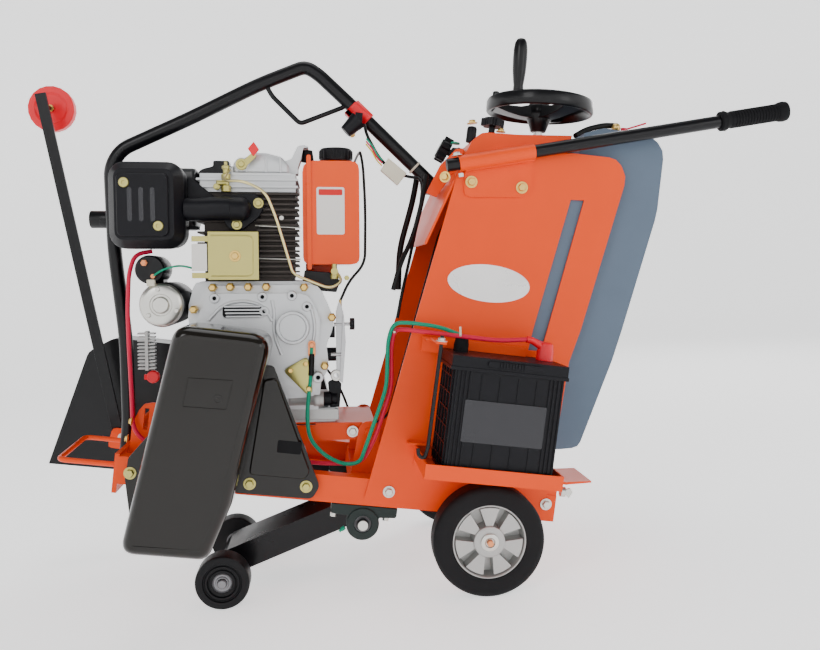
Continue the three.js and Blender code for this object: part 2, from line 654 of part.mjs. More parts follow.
function handwheel() {
  const rimOuter = 106;
  const rimTube = 14;
  const rimHeight = 59;
  const rim = new THREE.TorusGeometry(rimOuter - rimTube, rimTube, 6, 22).translate(0, 0, rimHeight);
  const hub = drumZ(17, 14, 68, 0, 0, 20);
  const cone = new THREE.CylinderGeometry(26, 15, 24, 20).rotateX(Math.PI / 2).translate(0, 0, 32);
  const spokes = [];
  for (let i = 0; i < 3; i++) {
    const arm = block(10, rimOuter - 18, -11, 11, 42, 56);
    spokes.push(arm.rotateZ((i / 3) * 2 * Math.PI + radians(180)));
  }
  return carve(fuse(rim, hub, cone, ...spokes), drumZ(9.4, 0, 52, 0, 0, 20));
}

const depthScrew = () => fuse(drumZ(9, -480, 51, 0, 0, 20), drumZ(12, -6, 13, 0, 0, 20));

function spinnerGrip() {
  const profile = [[4, 0], [9, 0], [12, 10], [13.5, 40], [14, 72], [12.5, 90], [8, 97], [4, 97]];
  return turnedY(profile, 20).rotateX(Math.PI / 2);
}

// The nut tube that the screw drives up and down, forked over the arm's lever.
function liftTube(low) {
  const bore = 10.4;
  const tube = carve(drumZ(18, low + 34, low + 330, 0, 0, 24), drumZ(bore, low + 60, low + 331, 0, 0, 24));
  const fork = carve(block(-17, 17, -18, 18, low - 22, low + 60), block(-20, 20, -9, 9, low - 30, low + 30),
    drumZ(bore, low + 50, low + 70, 0, 0, 24));
  const pin = drumY(5.5, -24, 24, 0, low, 16);
  return fuse(tube, fork, pin);
}

function lockKnob() {
  const lobes = [];
  for (let i = 0; i < 6; i++) {
    const angle = (i / 6) * 2 * Math.PI;
    lobes.push(drumZ(7, 24, 38, 16 * Math.cos(angle), 16 * Math.sin(angle), 10));
  }
  return fuse(drumZ(17, 24, 40, 0, 0, 18), ...lobes, drumZ(6.5, 0, 30, 0, 0, 12));
}

// A round head with finger lobes on a push-pull stem.
function throttleKnob() {
  const lobes = [];
  for (let i = 0; i < 5; i++) {
    const angle = (i / 5) * 2 * Math.PI;
    lobes.push(drumZ(8, 16, 34, 19 * Math.cos(angle), 19 * Math.sin(angle), 10));
  }
  return fuse(drumZ(19, 16, 36, 0, 0, 16), ...lobes, drumZ(6, 0, 18, 0, 0, 12));
}

// ---------------------------------------------------------------- bail, lamp, handles and pointer
function bailTube() {
  const hoop = rod([[-682, 0, 44 + GAP], [-682, 0, 98], [-703, 0, 260], [-742, 0, 432], [-764, 0, 586],
    [-748, 0, 622],
    [-624, 0, 700], [-505, 0, 780], [-421, 0, 827], [-394, 0, 815], [-328, 0, 768], [-175, 0, 655],
      [-144, 0, 632]],
    BAIL_RADIUS, { bend: 30, sides: 8, bendSteps: 2 });
  const eye = rod([[-493, 0, 783], [-478, 0, 762], [-419, 0, 717], [-340, 0, 760], [-332, 0, 768]], 4.8,
    { bend: 12, sides: 8, bendSteps: 2 });
  const foot = block(-160, -136, -16, 16, 612, 640).translate(-4, 0, 2);
  return fuse(hoop, eye, foot);
}

function lampClamp() {
  const lean = radians(36.6);
  const ring = carve(block(-21, 21, -24, 24, -24, 24), drumX(BAIL_RADIUS + GAP, -30, 30, 0, 0, 20));
  return ring.rotateY(lean).translate(-306, 0, 751.6);
}

function workLamp() {
  const shell = new THREE.CylinderGeometry(12, 17, 34, 20).rotateX(Math.PI / 2).rotateY(radians(-140));
  return fuse(shell.translate(-14, -52, -34), block(-10, 4, -56, -24.5, -34, -8));
}

function handle(side) {
  const start = side < 0 ? -22 : HANDLE.retracted - 22;
  const tube = handleBar(HANDLE.tubeRadius, start, 494, side);
  const collar = handleBar(17.5, 486, 497, side);
  const grip = handleBar(15.5, 496, 606, side);
  const tip = handleBar(18.5, 598, 615, side);
  return fuse(tube, collar, grip, tip);
}

// The flat bar of the sight, with the pin that carries its wheel out towards the blade's line.
function pointerBar() {
  const reach = Math.hypot(POINTER.wheelX - POINTER.x, POINTER.wheelZ - POINTER.z);
  const lean = Math.atan2(POINTER.wheelZ - POINTER.z, POINTER.wheelX - POINTER.x);
  const wheel = POINTER.wheelY - POINTER.y;
  const bar = block(-12, reach + 21, -3, 3, -11, 11);
  const pin = drumY(4.4, 0, wheel + 16, reach, 0, 12);
  const nuts = [drumY(7.5, wheel - 15, wheel - 8.3, reach, 0, 6),
    drumY(7.5, wheel + 8.3, wheel + 14, reach, 0, 6)];
  return fuse(bar, pin, ...nuts, drumY(5, -6.7, 6.7, 0, 0, 12)).rotateY(-lean);
}

const pointerWheel = () => turnedY([[4.5, -8], [30, -8], [34, -11], [46, -11], [48, -8], [48, 8], [46, 11],
  [34, 11], [30, 8],
  [4.5, 8]], 20);

// ---------------------------------------------------------------- cables and pipes
const fromEngine = ([x, y, z]) => {
  const turn = radians(-ENGINE_PITCH);
  return [
    SUBFRAME_HINGE.x + x * Math.cos(turn) + z * Math.sin(turn),
    y,
    SUBFRAME_HINGE.z - x * Math.sin(turn) + z * Math.cos(turn),
  ];
};

// Battery's negative post, over the lid, down the open front of the column, through the chassis, to the
// engine.
function groundCable() {
  const route = [[-92, -226, 344], [-92, -226, 356], [-130, -200, 366], [-180, -182, 366],
    [-208, -168, 362], [-214, -160, 330],
    [-206, -158, 244], [-226, -150, 150], [-236, -132, 96], [-262, -126, 88], [-300, -126, 100],
      [-334, -128, 130],
    ...[[-115, -128, 40], [-108, -126, 110], [-105, -126, 168]].map(fromEngine)];
  return rod(route, 3.6, { bend: 22, sides: 8, bendSteps: 2 });
}

// Battery's positive post to the starter's solenoid, along the same way and on under the engine.
function starterCable() {
  const route = [[56, -226, 344], [56, -226, 356], [30, -232, 364], [-30, -236, 355], [-88, -244, 356],
    [-140, -206, 354],
    [-186, -182, 353], [-204, -160, 350], [-206, -150, 318], [-196, -149, 244], [-214, -146, 150],
      [-232, -120, 92],
    [-300, -114, 84], [-610, -114, 84], [-650, -114, 110], [-660, -108, 175],
    ...[[-436, -92, 162], [-438, -88, 230], [-436, -80, 300], [-426, -72, 334],
      [-396, -66, 340]].map(fromEngine)];
  return rod(route, 3.8, { bend: 22, sides: 8, bendSteps: 2 });
}

// In the engine's own frame: injector, over the intake duct, down the cylinder's edge, up to the tank's
// tap.
function fuelPipe() {
  const route = [[-252, -82, 488], [-262, -118, 464], [-222, -142, 462], [-184, -140, 444],
    [-166, -132, 398], [-138, -126, 300],
    [-128, -124, 293], [-70, -112, 270], [-46, -96, 284], [-62, -84, 306]];
  return rod(route, 2.4, { bend: 16, sides: 8, bendSteps: 2 });
}

// Bowden cable from the speed lever, up past the tank, down the far side, up the column to its knob.
function throttleCable() {
  const route = [...[[-51, -60, 246], [-34, -64, 284], [-4, -70, 316], [-2, -60, 420], [-6, -60, 500],
    [-10, -40, 530],
    [-10, 100, 542], [-16, 176, 530], [-90, 178, 400], [-100, 150, 120], [-50, 120, 60]].map(fromEngine),
  [-240, 124, 120], [-170, 130, 130], [-146, 110, 300], [-112, 60, 560], [-76, 20, 640], [-82, 2, 700]];
  return rod(route, 2.6, { bend: 40, sides: 8, bendSteps: 2 });
}

// The work lamp's lead, along the bail tube and into the open front of the column.
function lampLead() {
  const route = [[-296, -30, 727], [-290, -44, 706], [-262, -58, 664], [-232, -62, 640], [-200, -60, 636],
    [-184, -66, 636],
    [-176, -86, 622], [-178, -100, 566], [-184, -104, 510], [-190, -120, 460], [-196, -136, 420],
      [-200, -141, 370]];
  return rod(route, 3, { bend: 18, sides: 8, bendSteps: 2 });
}

// ---------------------------------------------------------------- fixed pieces
add(body, "chassis_frame", chassisFrame(), orange());
SIDES.forEach(([name, side]) => add(body, `side_panel_${name}`, sidePanel(side), orange()));
add(body, "front_cover", frontCover(), orange());
add(body, "top_console", topConsole(), orange());
add(body, "water_tank", waterTank(), grey());
add(body, "water_valve", waterValve(), steel());
add(body, "battery_tray", batteryTray(), orange());
add(body, "battery_case", batteryCase(), black());
add(body, "belt_guard", beltGuard(), black());
add(body, "bail_tube", bailTube(), black());
add(body, "lamp_clamp", lampClamp(), red());
add(engine, "engine_subframe", engineSubframe(), orange());
add(engine, "crankcase", crankcase(), alloy());
add(engine, "timing_cover", timingCover(), alloy());
add(engine, "cylinder", cylinderBarrel(), alloy());
add(engine, "cylinder_head", cylinderHead(), alloy());
add(engine, "air_cleaner", airCleaner(), black());
add(engine, "intake_duct", intakeDuct(), black());
add(engine, "muffler", muffler(), black());
add(engine, "fuel_tank", fuelTank(), orange());
add(engine, "blower_housing", blowerHousing(), black());
add(engine, "starter_motor", starterMotor(), alloy());
add(engine, "fuel_pipe", fuelPipe(), zinc());
add(body, "ground_cable", groundCable(), paint(0x12917a, 0.5));
add(body, "starter_cable", starterCable(), paint(0xd01030, 0.5));
add(body, "throttle_cable", throttleCable(), rubber());
add(body, "lamp_lead", lampLead(), rubber());
SIDES.forEach(([name, side]) => {
  const shaftBearing = pillowBlock(BLADE_SHAFT.x, BLADE_SHAFT.z, RAIL.low - GAP,
    ...across(side, 139.5, 167), 15.3, 28, 56);
  add(body, `shaft_bearing_${name}`, shaftBearing, paint(0x2f3b36, 0.6));
  const armBearing = pillowBlock(ARM_PIVOT.x, ARM_PIVOT.z, RAIL.low - GAP, ...across(side, 137, 171), 10.2,
    27, 60);
  add(body, `arm_bearing_${name}`, armBearing, paint(0x2f3b36, 0.6));
});

// ---------------------------------------------------------------- moving pieces
const crankAt = fromEngine([CRANK.x, 0, CRANK.z]);
const crankPivot = pivot(body, "crank_pivot", ...crankAt);
add(crankPivot, "engine_pulley", enginePulley(), steel());
add(body, "drive_belts", driveBelts(crankAt[0], crankAt[2]), rubber());

const bladePivot = pivot(body, "blade_pivot", BLADE_SHAFT.x, 0, BLADE_SHAFT.z);
add(bladePivot, "blade_shaft", bladeShaft(), steel());
add(bladePivot, "blade_pulley", vPulley(PULLEY_RADIUS, 15.4), steel());
add(bladePivot, "blade_flange", bladeFlange(), steel());
add(body, "blade_guard", bladeGuard(), black());

const armPivot = pivot(body, "arm_pivot", ARM_PIVOT.x, 0, ARM_PIVOT.z);
add(armPivot, "front_arm", frontArm(), black());
SIDES.forEach(([name, side]) => {
  const wheel = pivot(body, `front_wheel_${name}_pivot`, FRONT_AXLE.x, 0, FRONT_AXLE.z);
  add(wheel, `front_wheel_${name}`, frontWheel(side), rubber());
  add(body, `rear_rim_${name}`, rearRim(side), alloy());
  add(body, `rear_tyre_${name}`, rearTyre(side), rubber());
});

const screwPivot = pivot(body, "screw_pivot", SCREW.lowX, 0, SCREW.lowZ + 10);
screwPivot.rotation.y = screwLean;
add(screwPivot, "handwheel", handwheel(), black());
add(screwPivot, "depth_screw", depthScrew(), steel());
const spinnerPivot = pivot(screwPivot, "spinner_pivot", -62, -69, 59 + 14 + GAP);
add(spinnerPivot, "spinner_grip", spinnerGrip(), black());
const liftLow = LIFT_PIN.z - SCREW.lowZ - 10;
add(screwPivot, "lift_tube", liftTube(liftLow), steel());

const lockPivot = pivot(body, "lock_pivot", -50, -40, 731.6);
add(lockPivot, "lock_knob", lockKnob(), black());
const throttlePivot = pivot(body, "throttle_pivot", -111.5, -10, 694);
throttlePivot.rotation.y = radians(-68.5);
add(throttlePivot, "throttle_knob", throttleKnob(), black());

const lampPivot = pivot(body, "lamp_pivot", -306, 0, 751.6);
add(lampPivot, "work_lamp", workLamp(), black());
add(body, "handle_left", handle(-1), black());
const farHandle = pivot(body, "far_handle_frame", -HANDLE.retracted * Math.cos(handleAngle), 0,
  -HANDLE.retracted * Math.sin(handleAngle));
add(farHandle, "handle_right", handle(1), black());

const pointerPivot = pivot(body, "pointer_pivot", POINTER.x, POINTER.y, POINTER.z);
add(pointerPivot, "pointer_bar", pointerBar(), black());
const pointerWheelPivot = pivot(body, "pointer_wheel_pivot", POINTER.wheelX, POINTER.wheelY,
  POINTER.wheelZ);
add(pointerWheelPivot, "pointer_wheel", pointerWheel(), red());

const valvePivot = pivot(body, "valve_pivot", 206, -60, 780);
add(valvePivot, "valve_lever", valveLever(), steel());
const tankCapPivot = pivot(body, "tank_cap_pivot", 190, 80, 764 + GAP);
add(tankCapPivot, "tank_cap", knurledCap(27, 16), black());
const fuelCapPivot = pivot(engine, "fuel_cap_pivot", -56, 0, 516 + GAP);
add(fuelCapPivot, "fuel_cap", knurledCap(30, 21), black());
const decompressionPivot = pivot(engine, "decompression_pivot", -230, -74 - GAP, 492);
add(decompressionPivot, "decompression_lever", decompressionLever(), red());

export default saw;
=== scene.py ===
"""A walk-behind concrete saw in a pale studio.

Sizes in the sub-part functions are millimetres in one of four leaning frames:
BODY (rear axle, floor of the chassis), ENGINE (subframe hinge), SCREW (handwheel shaft) and FLOOR.
"""

import math

import bmesh
import bpy
from mathutils import Matrix, Vector


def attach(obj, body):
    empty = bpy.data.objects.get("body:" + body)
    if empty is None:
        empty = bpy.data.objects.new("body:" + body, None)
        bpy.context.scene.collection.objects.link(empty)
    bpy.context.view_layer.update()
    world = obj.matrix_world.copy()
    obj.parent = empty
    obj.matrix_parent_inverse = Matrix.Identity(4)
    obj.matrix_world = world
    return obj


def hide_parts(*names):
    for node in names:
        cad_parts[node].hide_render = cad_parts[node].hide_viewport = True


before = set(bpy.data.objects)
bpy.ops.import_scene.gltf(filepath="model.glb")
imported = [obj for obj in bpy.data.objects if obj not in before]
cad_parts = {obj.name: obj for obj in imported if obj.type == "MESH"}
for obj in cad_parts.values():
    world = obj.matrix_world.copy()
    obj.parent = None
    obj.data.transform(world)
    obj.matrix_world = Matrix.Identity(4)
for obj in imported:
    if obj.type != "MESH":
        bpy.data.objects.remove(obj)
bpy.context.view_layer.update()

# ---------------------------------------------------------------- frames
MM = Matrix.Scale(0.001, 4)
REAR_AXLE = (0.12735, 0.0075, 0.1)


def turn_y(degrees):
    return Matrix.Rotation(math.radians(degrees), 4, "Y")


def shift(x, y, z):
    return Matrix.Translation((x, y, z))


BODY = shift(*REAR_AXLE) @ turn_y(12) @ MM
ENGINE = BODY @ shift(-223.7, 0, 148.5) @ turn_y(-7)
SCREW = shift(0.33498, 0.0075, 0.82671) @ turn_y(8.566) @ MM
FLOOR = shift(0, 0.0075, 0) @ MM
NEAR, FAR = -1, 1
EDGE_SEGMENTS = 2
CAD_EDGE_ANGLE = 33  # degrees past which a CAD node's edge is rounded

# ---------------------------------------------------------------- finishes
ORANGE = (0.8, 0.06, 0.0)
TANK_ORANGE = (0.82, 0.07, 0.0)
JET = (0.003, 0.003, 0.004)


def finish(name, colour, metal=0.0, rough=0.4, coat=0.0, grain=0.0, grain_size=900.0, patch=0.0,
    spread=0.08,
           shine=0.2):
    """One procedural finish: a base colour with soft patches, a varying gloss and a fine surface grain."""
    material = bpy.data.materials.new(name)
    material.use_nodes = True
    nodes = material.node_tree.nodes
    links = material.node_tree.links
    shader = nodes["Principled BSDF"]
    shader.inputs["Base Color"].default_value = (*colour, 1)
    shader.inputs["Metallic"].default_value = metal
    shader.inputs["Roughness"].default_value = rough
    shader.inputs["Coat Weight"].default_value = coat
    shader.inputs["Coat Roughness"].default_value = 0.12
    shader.inputs["Specular IOR Level"].default_value = shine
    place = nodes.new("ShaderNodeTexCoord")
    cloud = nodes.new("ShaderNodeTexNoise")
    cloud.inputs["Scale"].default_value = 14
    cloud.inputs["Detail"].default_value = 5
    links.new(place.outputs["Object"], cloud.inputs["Vector"])
    gloss = nodes.new("ShaderNodeMapRange")
    gloss.inputs["To Min"].default_value = max(0.02, rough - spread)
    gloss.inputs["To Max"].default_value = min(1.0, rough + spread)
    links.new(cloud.outputs["Fac"], gloss.inputs["Value"])
    links.new(gloss.outputs["Result"], shader.inputs["Roughness"])
    if patch:
        blend = nodes.new("ShaderNodeMix")
        blend.data_type = "RGBA"
        blend.inputs["A"].default_value = (*[c * (1 - patch) for c in colour], 1)
        blend.inputs["B"].default_value = (*[min(1.0, c * (1 + patch)) for c in colour], 1)
        links.new(cloud.outputs["Fac"], blend.inputs["Factor"])
        links.new(blend.outputs["Result"], shader.inputs["Base Color"])
    if grain:
        speck = nodes.new("ShaderNodeTexNoise")
        speck.inputs["Scale"].default_value = grain_size
        speck.inputs["Detail"].default_value = 3
        links.new(place.outputs["Object"], speck.inputs["Vector"])
        bump = nodes.new("ShaderNodeBump")
        bump.inputs["Strength"].default_value = grain
        bump.inputs["Distance"].default_value = 0.0006
        links.new(speck.outputs["Fac"], bump.inputs["Height"])
        links.new(bump.outputs["Normal"], shader.inputs["Normal"])
    return material


# Colour, metal, roughness, coat, grain, grain size, colour patches and spread of the gloss.
PAINTS = {
    "frame_orange": (ORANGE, 0, 0.4, 0.05, 0.12, 500, 0.08),
    "cover_orange": (ORANGE, 0, 0.42, 0.05, 0.12, 500, 0.05),
    "tank_enamel": (TANK_ORANGE, 0, 0.3, 0.2, 0.04, 400, 0.05),
    "black_coat": (JET, 0, 0.3, 0.15, 0.1, 600),
    "tank_grey": ((0.1, 0.135, 0.185), 0, 0.5, 0, 0.2, 700, 0.08),
    "black_shell": ((0.006, 0.0045, 0.003), 0, 0.16, 0.35, 0.1, 60),
    "black_plastic": ((0.003, 0.003, 0.005), 0, 0.42, 0, 0.25, 1200),
    "red_plastic": ((0.75, 0.004, 0.016), 0, 0.32, 0.3, 0.1, 700),
    "cast_aluminium": ((0.6, 0.61, 0.62), 0.75, 0.5, 0, 0.5, 900, 0.1),
    "turned_aluminium": ((0.42, 0.42, 0.41), 0.7, 0.42, 0, 0.4, 700, 0.08),
    "zinc_steel": ((0.62, 0.62, 0.6), 0.85, 0.35, 0, 0.15, 700, 0.06),
    "steel": ((0.45, 0.45, 0.46), 0.95, 0.3, 0, 0.1, 800),
    "dark_iron": ((0.012, 0.02, 0.018), 0, 0.5, 0.1, 0.7, 500, 0.15),
    "grey_iron": ((0.22, 0.22, 0.23), 0.8, 0.45, 0, 0.4, 700),
    "brass_fitting": ((0.7, 0.48, 0.16), 0.95, 0.32, 0, 0.1, 600),
    # Black rubber; also painted shade in the timing cover's bores and grille.
    "rubber_black": ((0.003, 0.003, 0.004), 0, 0.75, 0, 0.3, 900),
    "tyre_black": ((0.004, 0.004, 0.005), 0, 0.62, 0, 0.5, 900, 0.15),
    "polyurethane": ((0.004, 0.004, 0.005), 0, 0.45, 0, 0.2, 700),
    "cylinder_dark": ((0.05, 0.042, 0.038), 0.3, 0.55, 0, 0.5, 700, 0.2),
    "shroud_black": ((0.012, 0.012, 0.013), 0, 0.4, 0.2, 0.1, 600),
    "cable_green": ((0.004, 0.25, 0.14), 0, 0.35),
    "cable_red": ((0.6, 0.008, 0.05), 0, 0.35),
    "cable_black": ((0.003, 0.003, 0.003), 0, 0.45),
    "pipe_zinc": ((0.72, 0.62, 0.3), 0.9, 0.3, 0, 0.1, 600),
    "yellow_zinc": ((0.75, 0.5, 0.14), 0.95, 0.3, 0, 0.15, 700, 0.12),
    "bright_zinc": ((0.62, 0.61, 0.57), 0.95, 0.3, 0, 0.15, 700, 0.08),
    "olive_zinc": ((0.5, 0.45, 0.15), 0.85, 0.36, 0, 0.25, 500, 0.12),
    "copper_bolt": ((0.75, 0.28, 0.12), 0.9, 0.35),
}
FINISHES = {name: finish(name, *values) for name, values in PAINTS.items()}
# Platings that share one slot of the record.
PLATED = dict.fromkeys(("yellow_zinc", "bright_zinc", "olive_zinc", "copper_bolt"), "zinc_steel")
WHITE = finish("white_plastic", (0.62, 0.58, 0.46), 0, 0.45)
LABEL = finish("label_film", (0.75, 0.72, 0.68), 0, 0.35)
LABEL_RED = finish("label_band", (0.6, 0.02, 0.02), 0, 0.35)
# Dark glossy finish: the battery label's print and the air vents, and painted shade in the column bracket's
# slots.
DARK_LABEL_AND_SHADE = finish("dark_label_and_shade", (0.02, 0.02, 0.024), 0, 0.25, 0.4)
BADGE = finish("badge_foil", (0.75, 0.73, 0.72), 0.7, 0.28, 0.3, 0.05, 300, 0.12)
YELLOW_WIRE = finish("yellow_wire", (0.7, 0.5, 0.02), 0, 0.4)


# ---------------------------------------------------------------- geometry helpers
def rounded(points, bend, steps=6):
    """A path of straight runs with each corner rounded."""
    path = [Vector(points[0])]
    for before, corner, after in zip(points, points[1:], points[2:]):
        before, corner, after = Vector(before), Vector(corner), Vector(after)
        into, out = before - corner, after - corner
        reach = min(bend, into.length * 0.48, out.length * 0.48)
        start = corner + into.normalized() * reach
        end = corner + out.normalized() * reach
        for i in range(steps + 1):
            t = i / steps
            path.append((1 - t) ** 2 * start + 2 * t * (1 - t) * corner + t * t * end)
    path.append(Vector(points[-1]))
    return path


class Kit:
    """Gathers simple solids of one finish, given in a leaning frame, into one mesh."""

    def __init__(self, place=BODY):
        self.place = place
        self.mesh = bmesh.new()

    def skin(self, rings, closed_ring=False):
        """Skins a list of equal point rings."""
        rows = []
        for ring in rings:
            rows.append([self.mesh.verts.new(self.place @ Vector(p)) for p in ring])
        count = len(rings[0])
        pairs = list(zip(rows, rows[1:]))
        if closed_ring:
            pairs.append((rows[-1], rows[0]))
        for a, b in pairs:
            for i in range(count):
                j = (i + 1) % count
                self.mesh.faces.new((a[i], a[j], b[j], b[i]))
        if not closed_ring:
            self.mesh.faces.new(rows[0])
            self.mesh.faces.new(rows[-1])

    def turned(self, profile, centre, axis="Y", steps=48, start=0.0):
        """Turns (radius, along) pairs about an axis through centre. Ends with a radius are capped."""
        spin = {"X": Matrix.Rotation(math.pi / 2, 4, "Y"), "Y": Matrix.Rotation(-math.pi / 2, 4, "X"),
            "Z": Matrix()}
        frame_of = spin[axis] if isinstance(axis, str) else Vector(axis).to_track_quat("Z",
            "Y").to_matrix().to_4x4()
        place = Matrix.Translation(centre) @ frame_of
        rings = []
        for radius, along in profile:
            ring = []
            for i in range(steps):
                angle = 2 * math.pi * i / steps + start
                ring.append(place @ Vector((radius * math.cos(angle), radius * math.sin(angle), along)))
            rings.append(ring)
        self.skin(rings)
        return self

    def ring(self, profile, centre, axis="Y", steps=48):
        """Turns a closed profile, so that the solid has a bore."""
        spin = {"X": Matrix.Rotation(math.pi / 2, 4, "Y"), "Y": Matrix.Rotation(-math.pi / 2, 4, "X"),
            "Z": Matrix()}
        place = Matrix.Translation(centre) @ spin[axis]
        rings = []
        for i in range(steps):
            angle = 2 * math.pi * i / steps
            turn = Matrix.Rotation(angle, 4, "Z")
            rings.append([place @ turn @ Vector((radius, 0, along)) for radius, along in profile])
        self.skin(rings, closed_ring=True)
        return self

    def tube(self, points, radius, bend=20, sides=14, steps=7):
        """A round rod or cable along rounded runs."""
        path = rounded(points, bend, steps)
        rings = []
        side = None
        for i, point in enumerate(path):
            ahead = path[min(i + 1, len(path) - 1)] - path[max(i - 1, 0)]
            ahead.normalize()
            if side is None:
                side = ahead.orthogonal().normalized()
            side = (side - ahead * side.dot(ahead)).normalized()
            up = ahead.cross(side)
            ring = []
            for k in range(sides):
                angle = 2 * math.pi * k / sides
                ring.append(point + side * math.cos(angle) * radius + up * math.sin(angle) * radius)
            rings.append(ring)
        self.skin(rings)
        return self

    def box(self, x0, x1, y0, y1, z0, z1):
        self.skin([[(x, y0, z0), (x, y1, z0), (x, y1, z1), (x, y0, z1)] for x in (x0, x1)])
        return self

    def plate(self, outline, y0, y1):
        """A flat plate of the given x, z outline between two y planes."""
        self.skin([[(x, y, z) for x, z in outline] for y in (y0, y1)])
        return self

    def bolt(self, centre, axis=(0, -1, 0), across=13, washer=True):
        """A hexagon head standing on a surface, with a washer."""
        radius = across / 1.732
        if washer:
            self.turned([(0, 0), (across * 0.85, 0), (across * 0.85, 1.6), (0, 1.6)], centre, axis, 24)
        head = [(0, 1.4), (radius, 1.4), (radius, across * 0.5), (radius * 0.86, across * 0.6),
            (0, across * 0.6)]
        self.turned(head, centre, axis, 6)
        return self

    def done(self, name, paint, body="chassis", slot=None, replaces=(), bevel=0.0, angle=38):
        """The paint is a material or a key of FINISHES. The slot argument is not used.
        """
        material = FINISHES[paint] if isinstance(paint, str) else paint
        slot = slot or PLATED.get(paint, paint)
        bmesh.ops.remove_doubles(self.mesh, verts=self.mesh.verts, dist=1e-7)
        bmesh.ops.dissolve_degenerate(self.mesh, edges=self.mesh.edges, dist=1e-7)
        bmesh.ops.recalc_face_normals(self.mesh, faces=self.mesh.faces)
        data = bpy.data.meshes.new(name)
        self.mesh.to_mesh(data)
        self.mesh.free()
        piece = bpy.data.objects.new(name, data)
        bpy.context.scene.collection.objects.link(piece)
        data.materials.append(material)
        soften(piece, bevel, angle)
        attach(piece, body)
        if replaces:
            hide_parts(*replaces)
        return piece


def soften(piece, width, angle):
    """Smooth shading with crisp edges, which are rounded where a width is given."""
    data = piece.data
    for face in data.polygons:
        face.use_smooth = True
    if width:
        bevel = piece.modifiers.new("edges", "BEVEL")
        bevel.width = width / 1000
        bevel.segments = EDGE_SEGMENTS
        bevel.limit_method = "ANGLE"
        bevel.angle_limit = math.radians(angle)
        bevel.harden_normals = True
        return
    data.set_sharp_from_angle(angle=math.radians(angle))
    normals = piece.modifiers.new("normals", "WEIGHTED_NORMAL")
    normals.keep_sharp = True


def dress(node, finish_name, width):
    """Gives a CAD node its finish and rounded edges."""
    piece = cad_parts[node]
    data = piece.data
    data.materials.clear()
    data.materials.append(FINISHES[finish_name])
    if "custom_normal" in data.attributes:
        data.attributes.remove(data.attributes["custom_normal"])
    weld = piece.modifiers.new("weld", "WELD")
    weld.merge_threshold = 1e-5
    soften(piece, width, CAD_EDGE_ANGLE)


def circle(cx, cz, radius, steps=32, start=0.0, sweep=360.0):
    """Points on an arc, in degrees from +x towards +z."""
    last = steps if sweep < 360 else steps - 1
    points = []
    for i in range(last + 1):
        angle = math.radians(start + sweep * i / steps)
        points.append((cx + radius * math.cos(angle), cz + radius * math.sin(angle)))
    return points


def soft_box(x0, x1, z0, z1, radius, steps=6):
    """A rectangle outline with round corners."""
    corners = ((x1 - radius, z1 - radius, 0), (x0 + radius, z1 - radius, 90),
        (x0 + radius, z0 + radius, 180),
               (x1 - radius, z0 + radius, 270))
    points = []
    for cx, cz, start in corners:
        points += circle(cx, cz, radius, steps, start, 90)
    return points


# ---------------------------------------------------------------- wheels
def rear_wheel(side):
    """Solid tyre on a die-cast rim with seven raised fan spokes, a hub and a copper-coloured axle bolt."""
    word = "left" if side == NEAR else "right"
    tyre = Kit()
    inner, outer = 188, 238
    profile = [(66.5, inner + 1), (88, inner), (95, inner + 1.5), (99, inner + 5.5), (100, inner + 10)]
    profile += [(100, outer - 10), (99, outer - 5.5), (95, outer - 1.5), (88, outer), (72, outer - 0.5),
        (69, outer - 2),
                (66.5, outer - 2)]
    tyre.ring([(r, side * t) for r, t in profile], (0, 0, 0), "Y", 96)
    tyre.done("tyre_" + word, "tyre_black", "rear_wheel_" + word, replaces=["rear_tyre_" + word], angle=50)
    rim = Kit()
    dish = [(12.6, inner + 6), (66.2, inner + 2), (66.2, outer - 3), (64, outer - 2.5), (62.5, outer - 5),
        (60, outer - 30),
            (30, outer - 30), (28, outer - 3), (24, outer - 1), (18, outer - 1), (12.6, outer - 2)]
    rim.ring([(r, side * t) for r, t in dish], (0, 0, 0), "Y", 96)
    for i in range(7):
        middle = 360 * i / 7 + 96
        fan = circle(0, 0, 60.8, 6, middle - 17, 34) + circle(0, 0, 27.5, 3, middle + 13, -26)
        rim.plate(fan, side * (outer - 31), side * (outer - 6))
    rim.done("rim_" + word, "turned_aluminium", "rear_wheel_" + word, replaces=["rear_rim_" + word],
        bevel=1.2, angle=40)
    hub = Kit()
    hub.turned([(0, side * (outer - 4)), (16, side * (outer - 4)), (16, side * (outer + 1)),
        (14.5, side * (outer + 2)),
                (9, side * (outer + 2)), (8, side * outer), (0, side * outer)], (0, 0, 0), "Y", 48)
    hub.done("hub_cap_" + word, "bright_zinc", "rear_wheel_" + word, bevel=0.5)
    nut = Kit()
    nut.bolt((0, side * (outer + 0.2), 0), (0, side, 0), 11, washer=False)
    nut.done("axle_bolt_" + word, "copper_bolt", "rear_wheel_" + word, bevel=0.5)


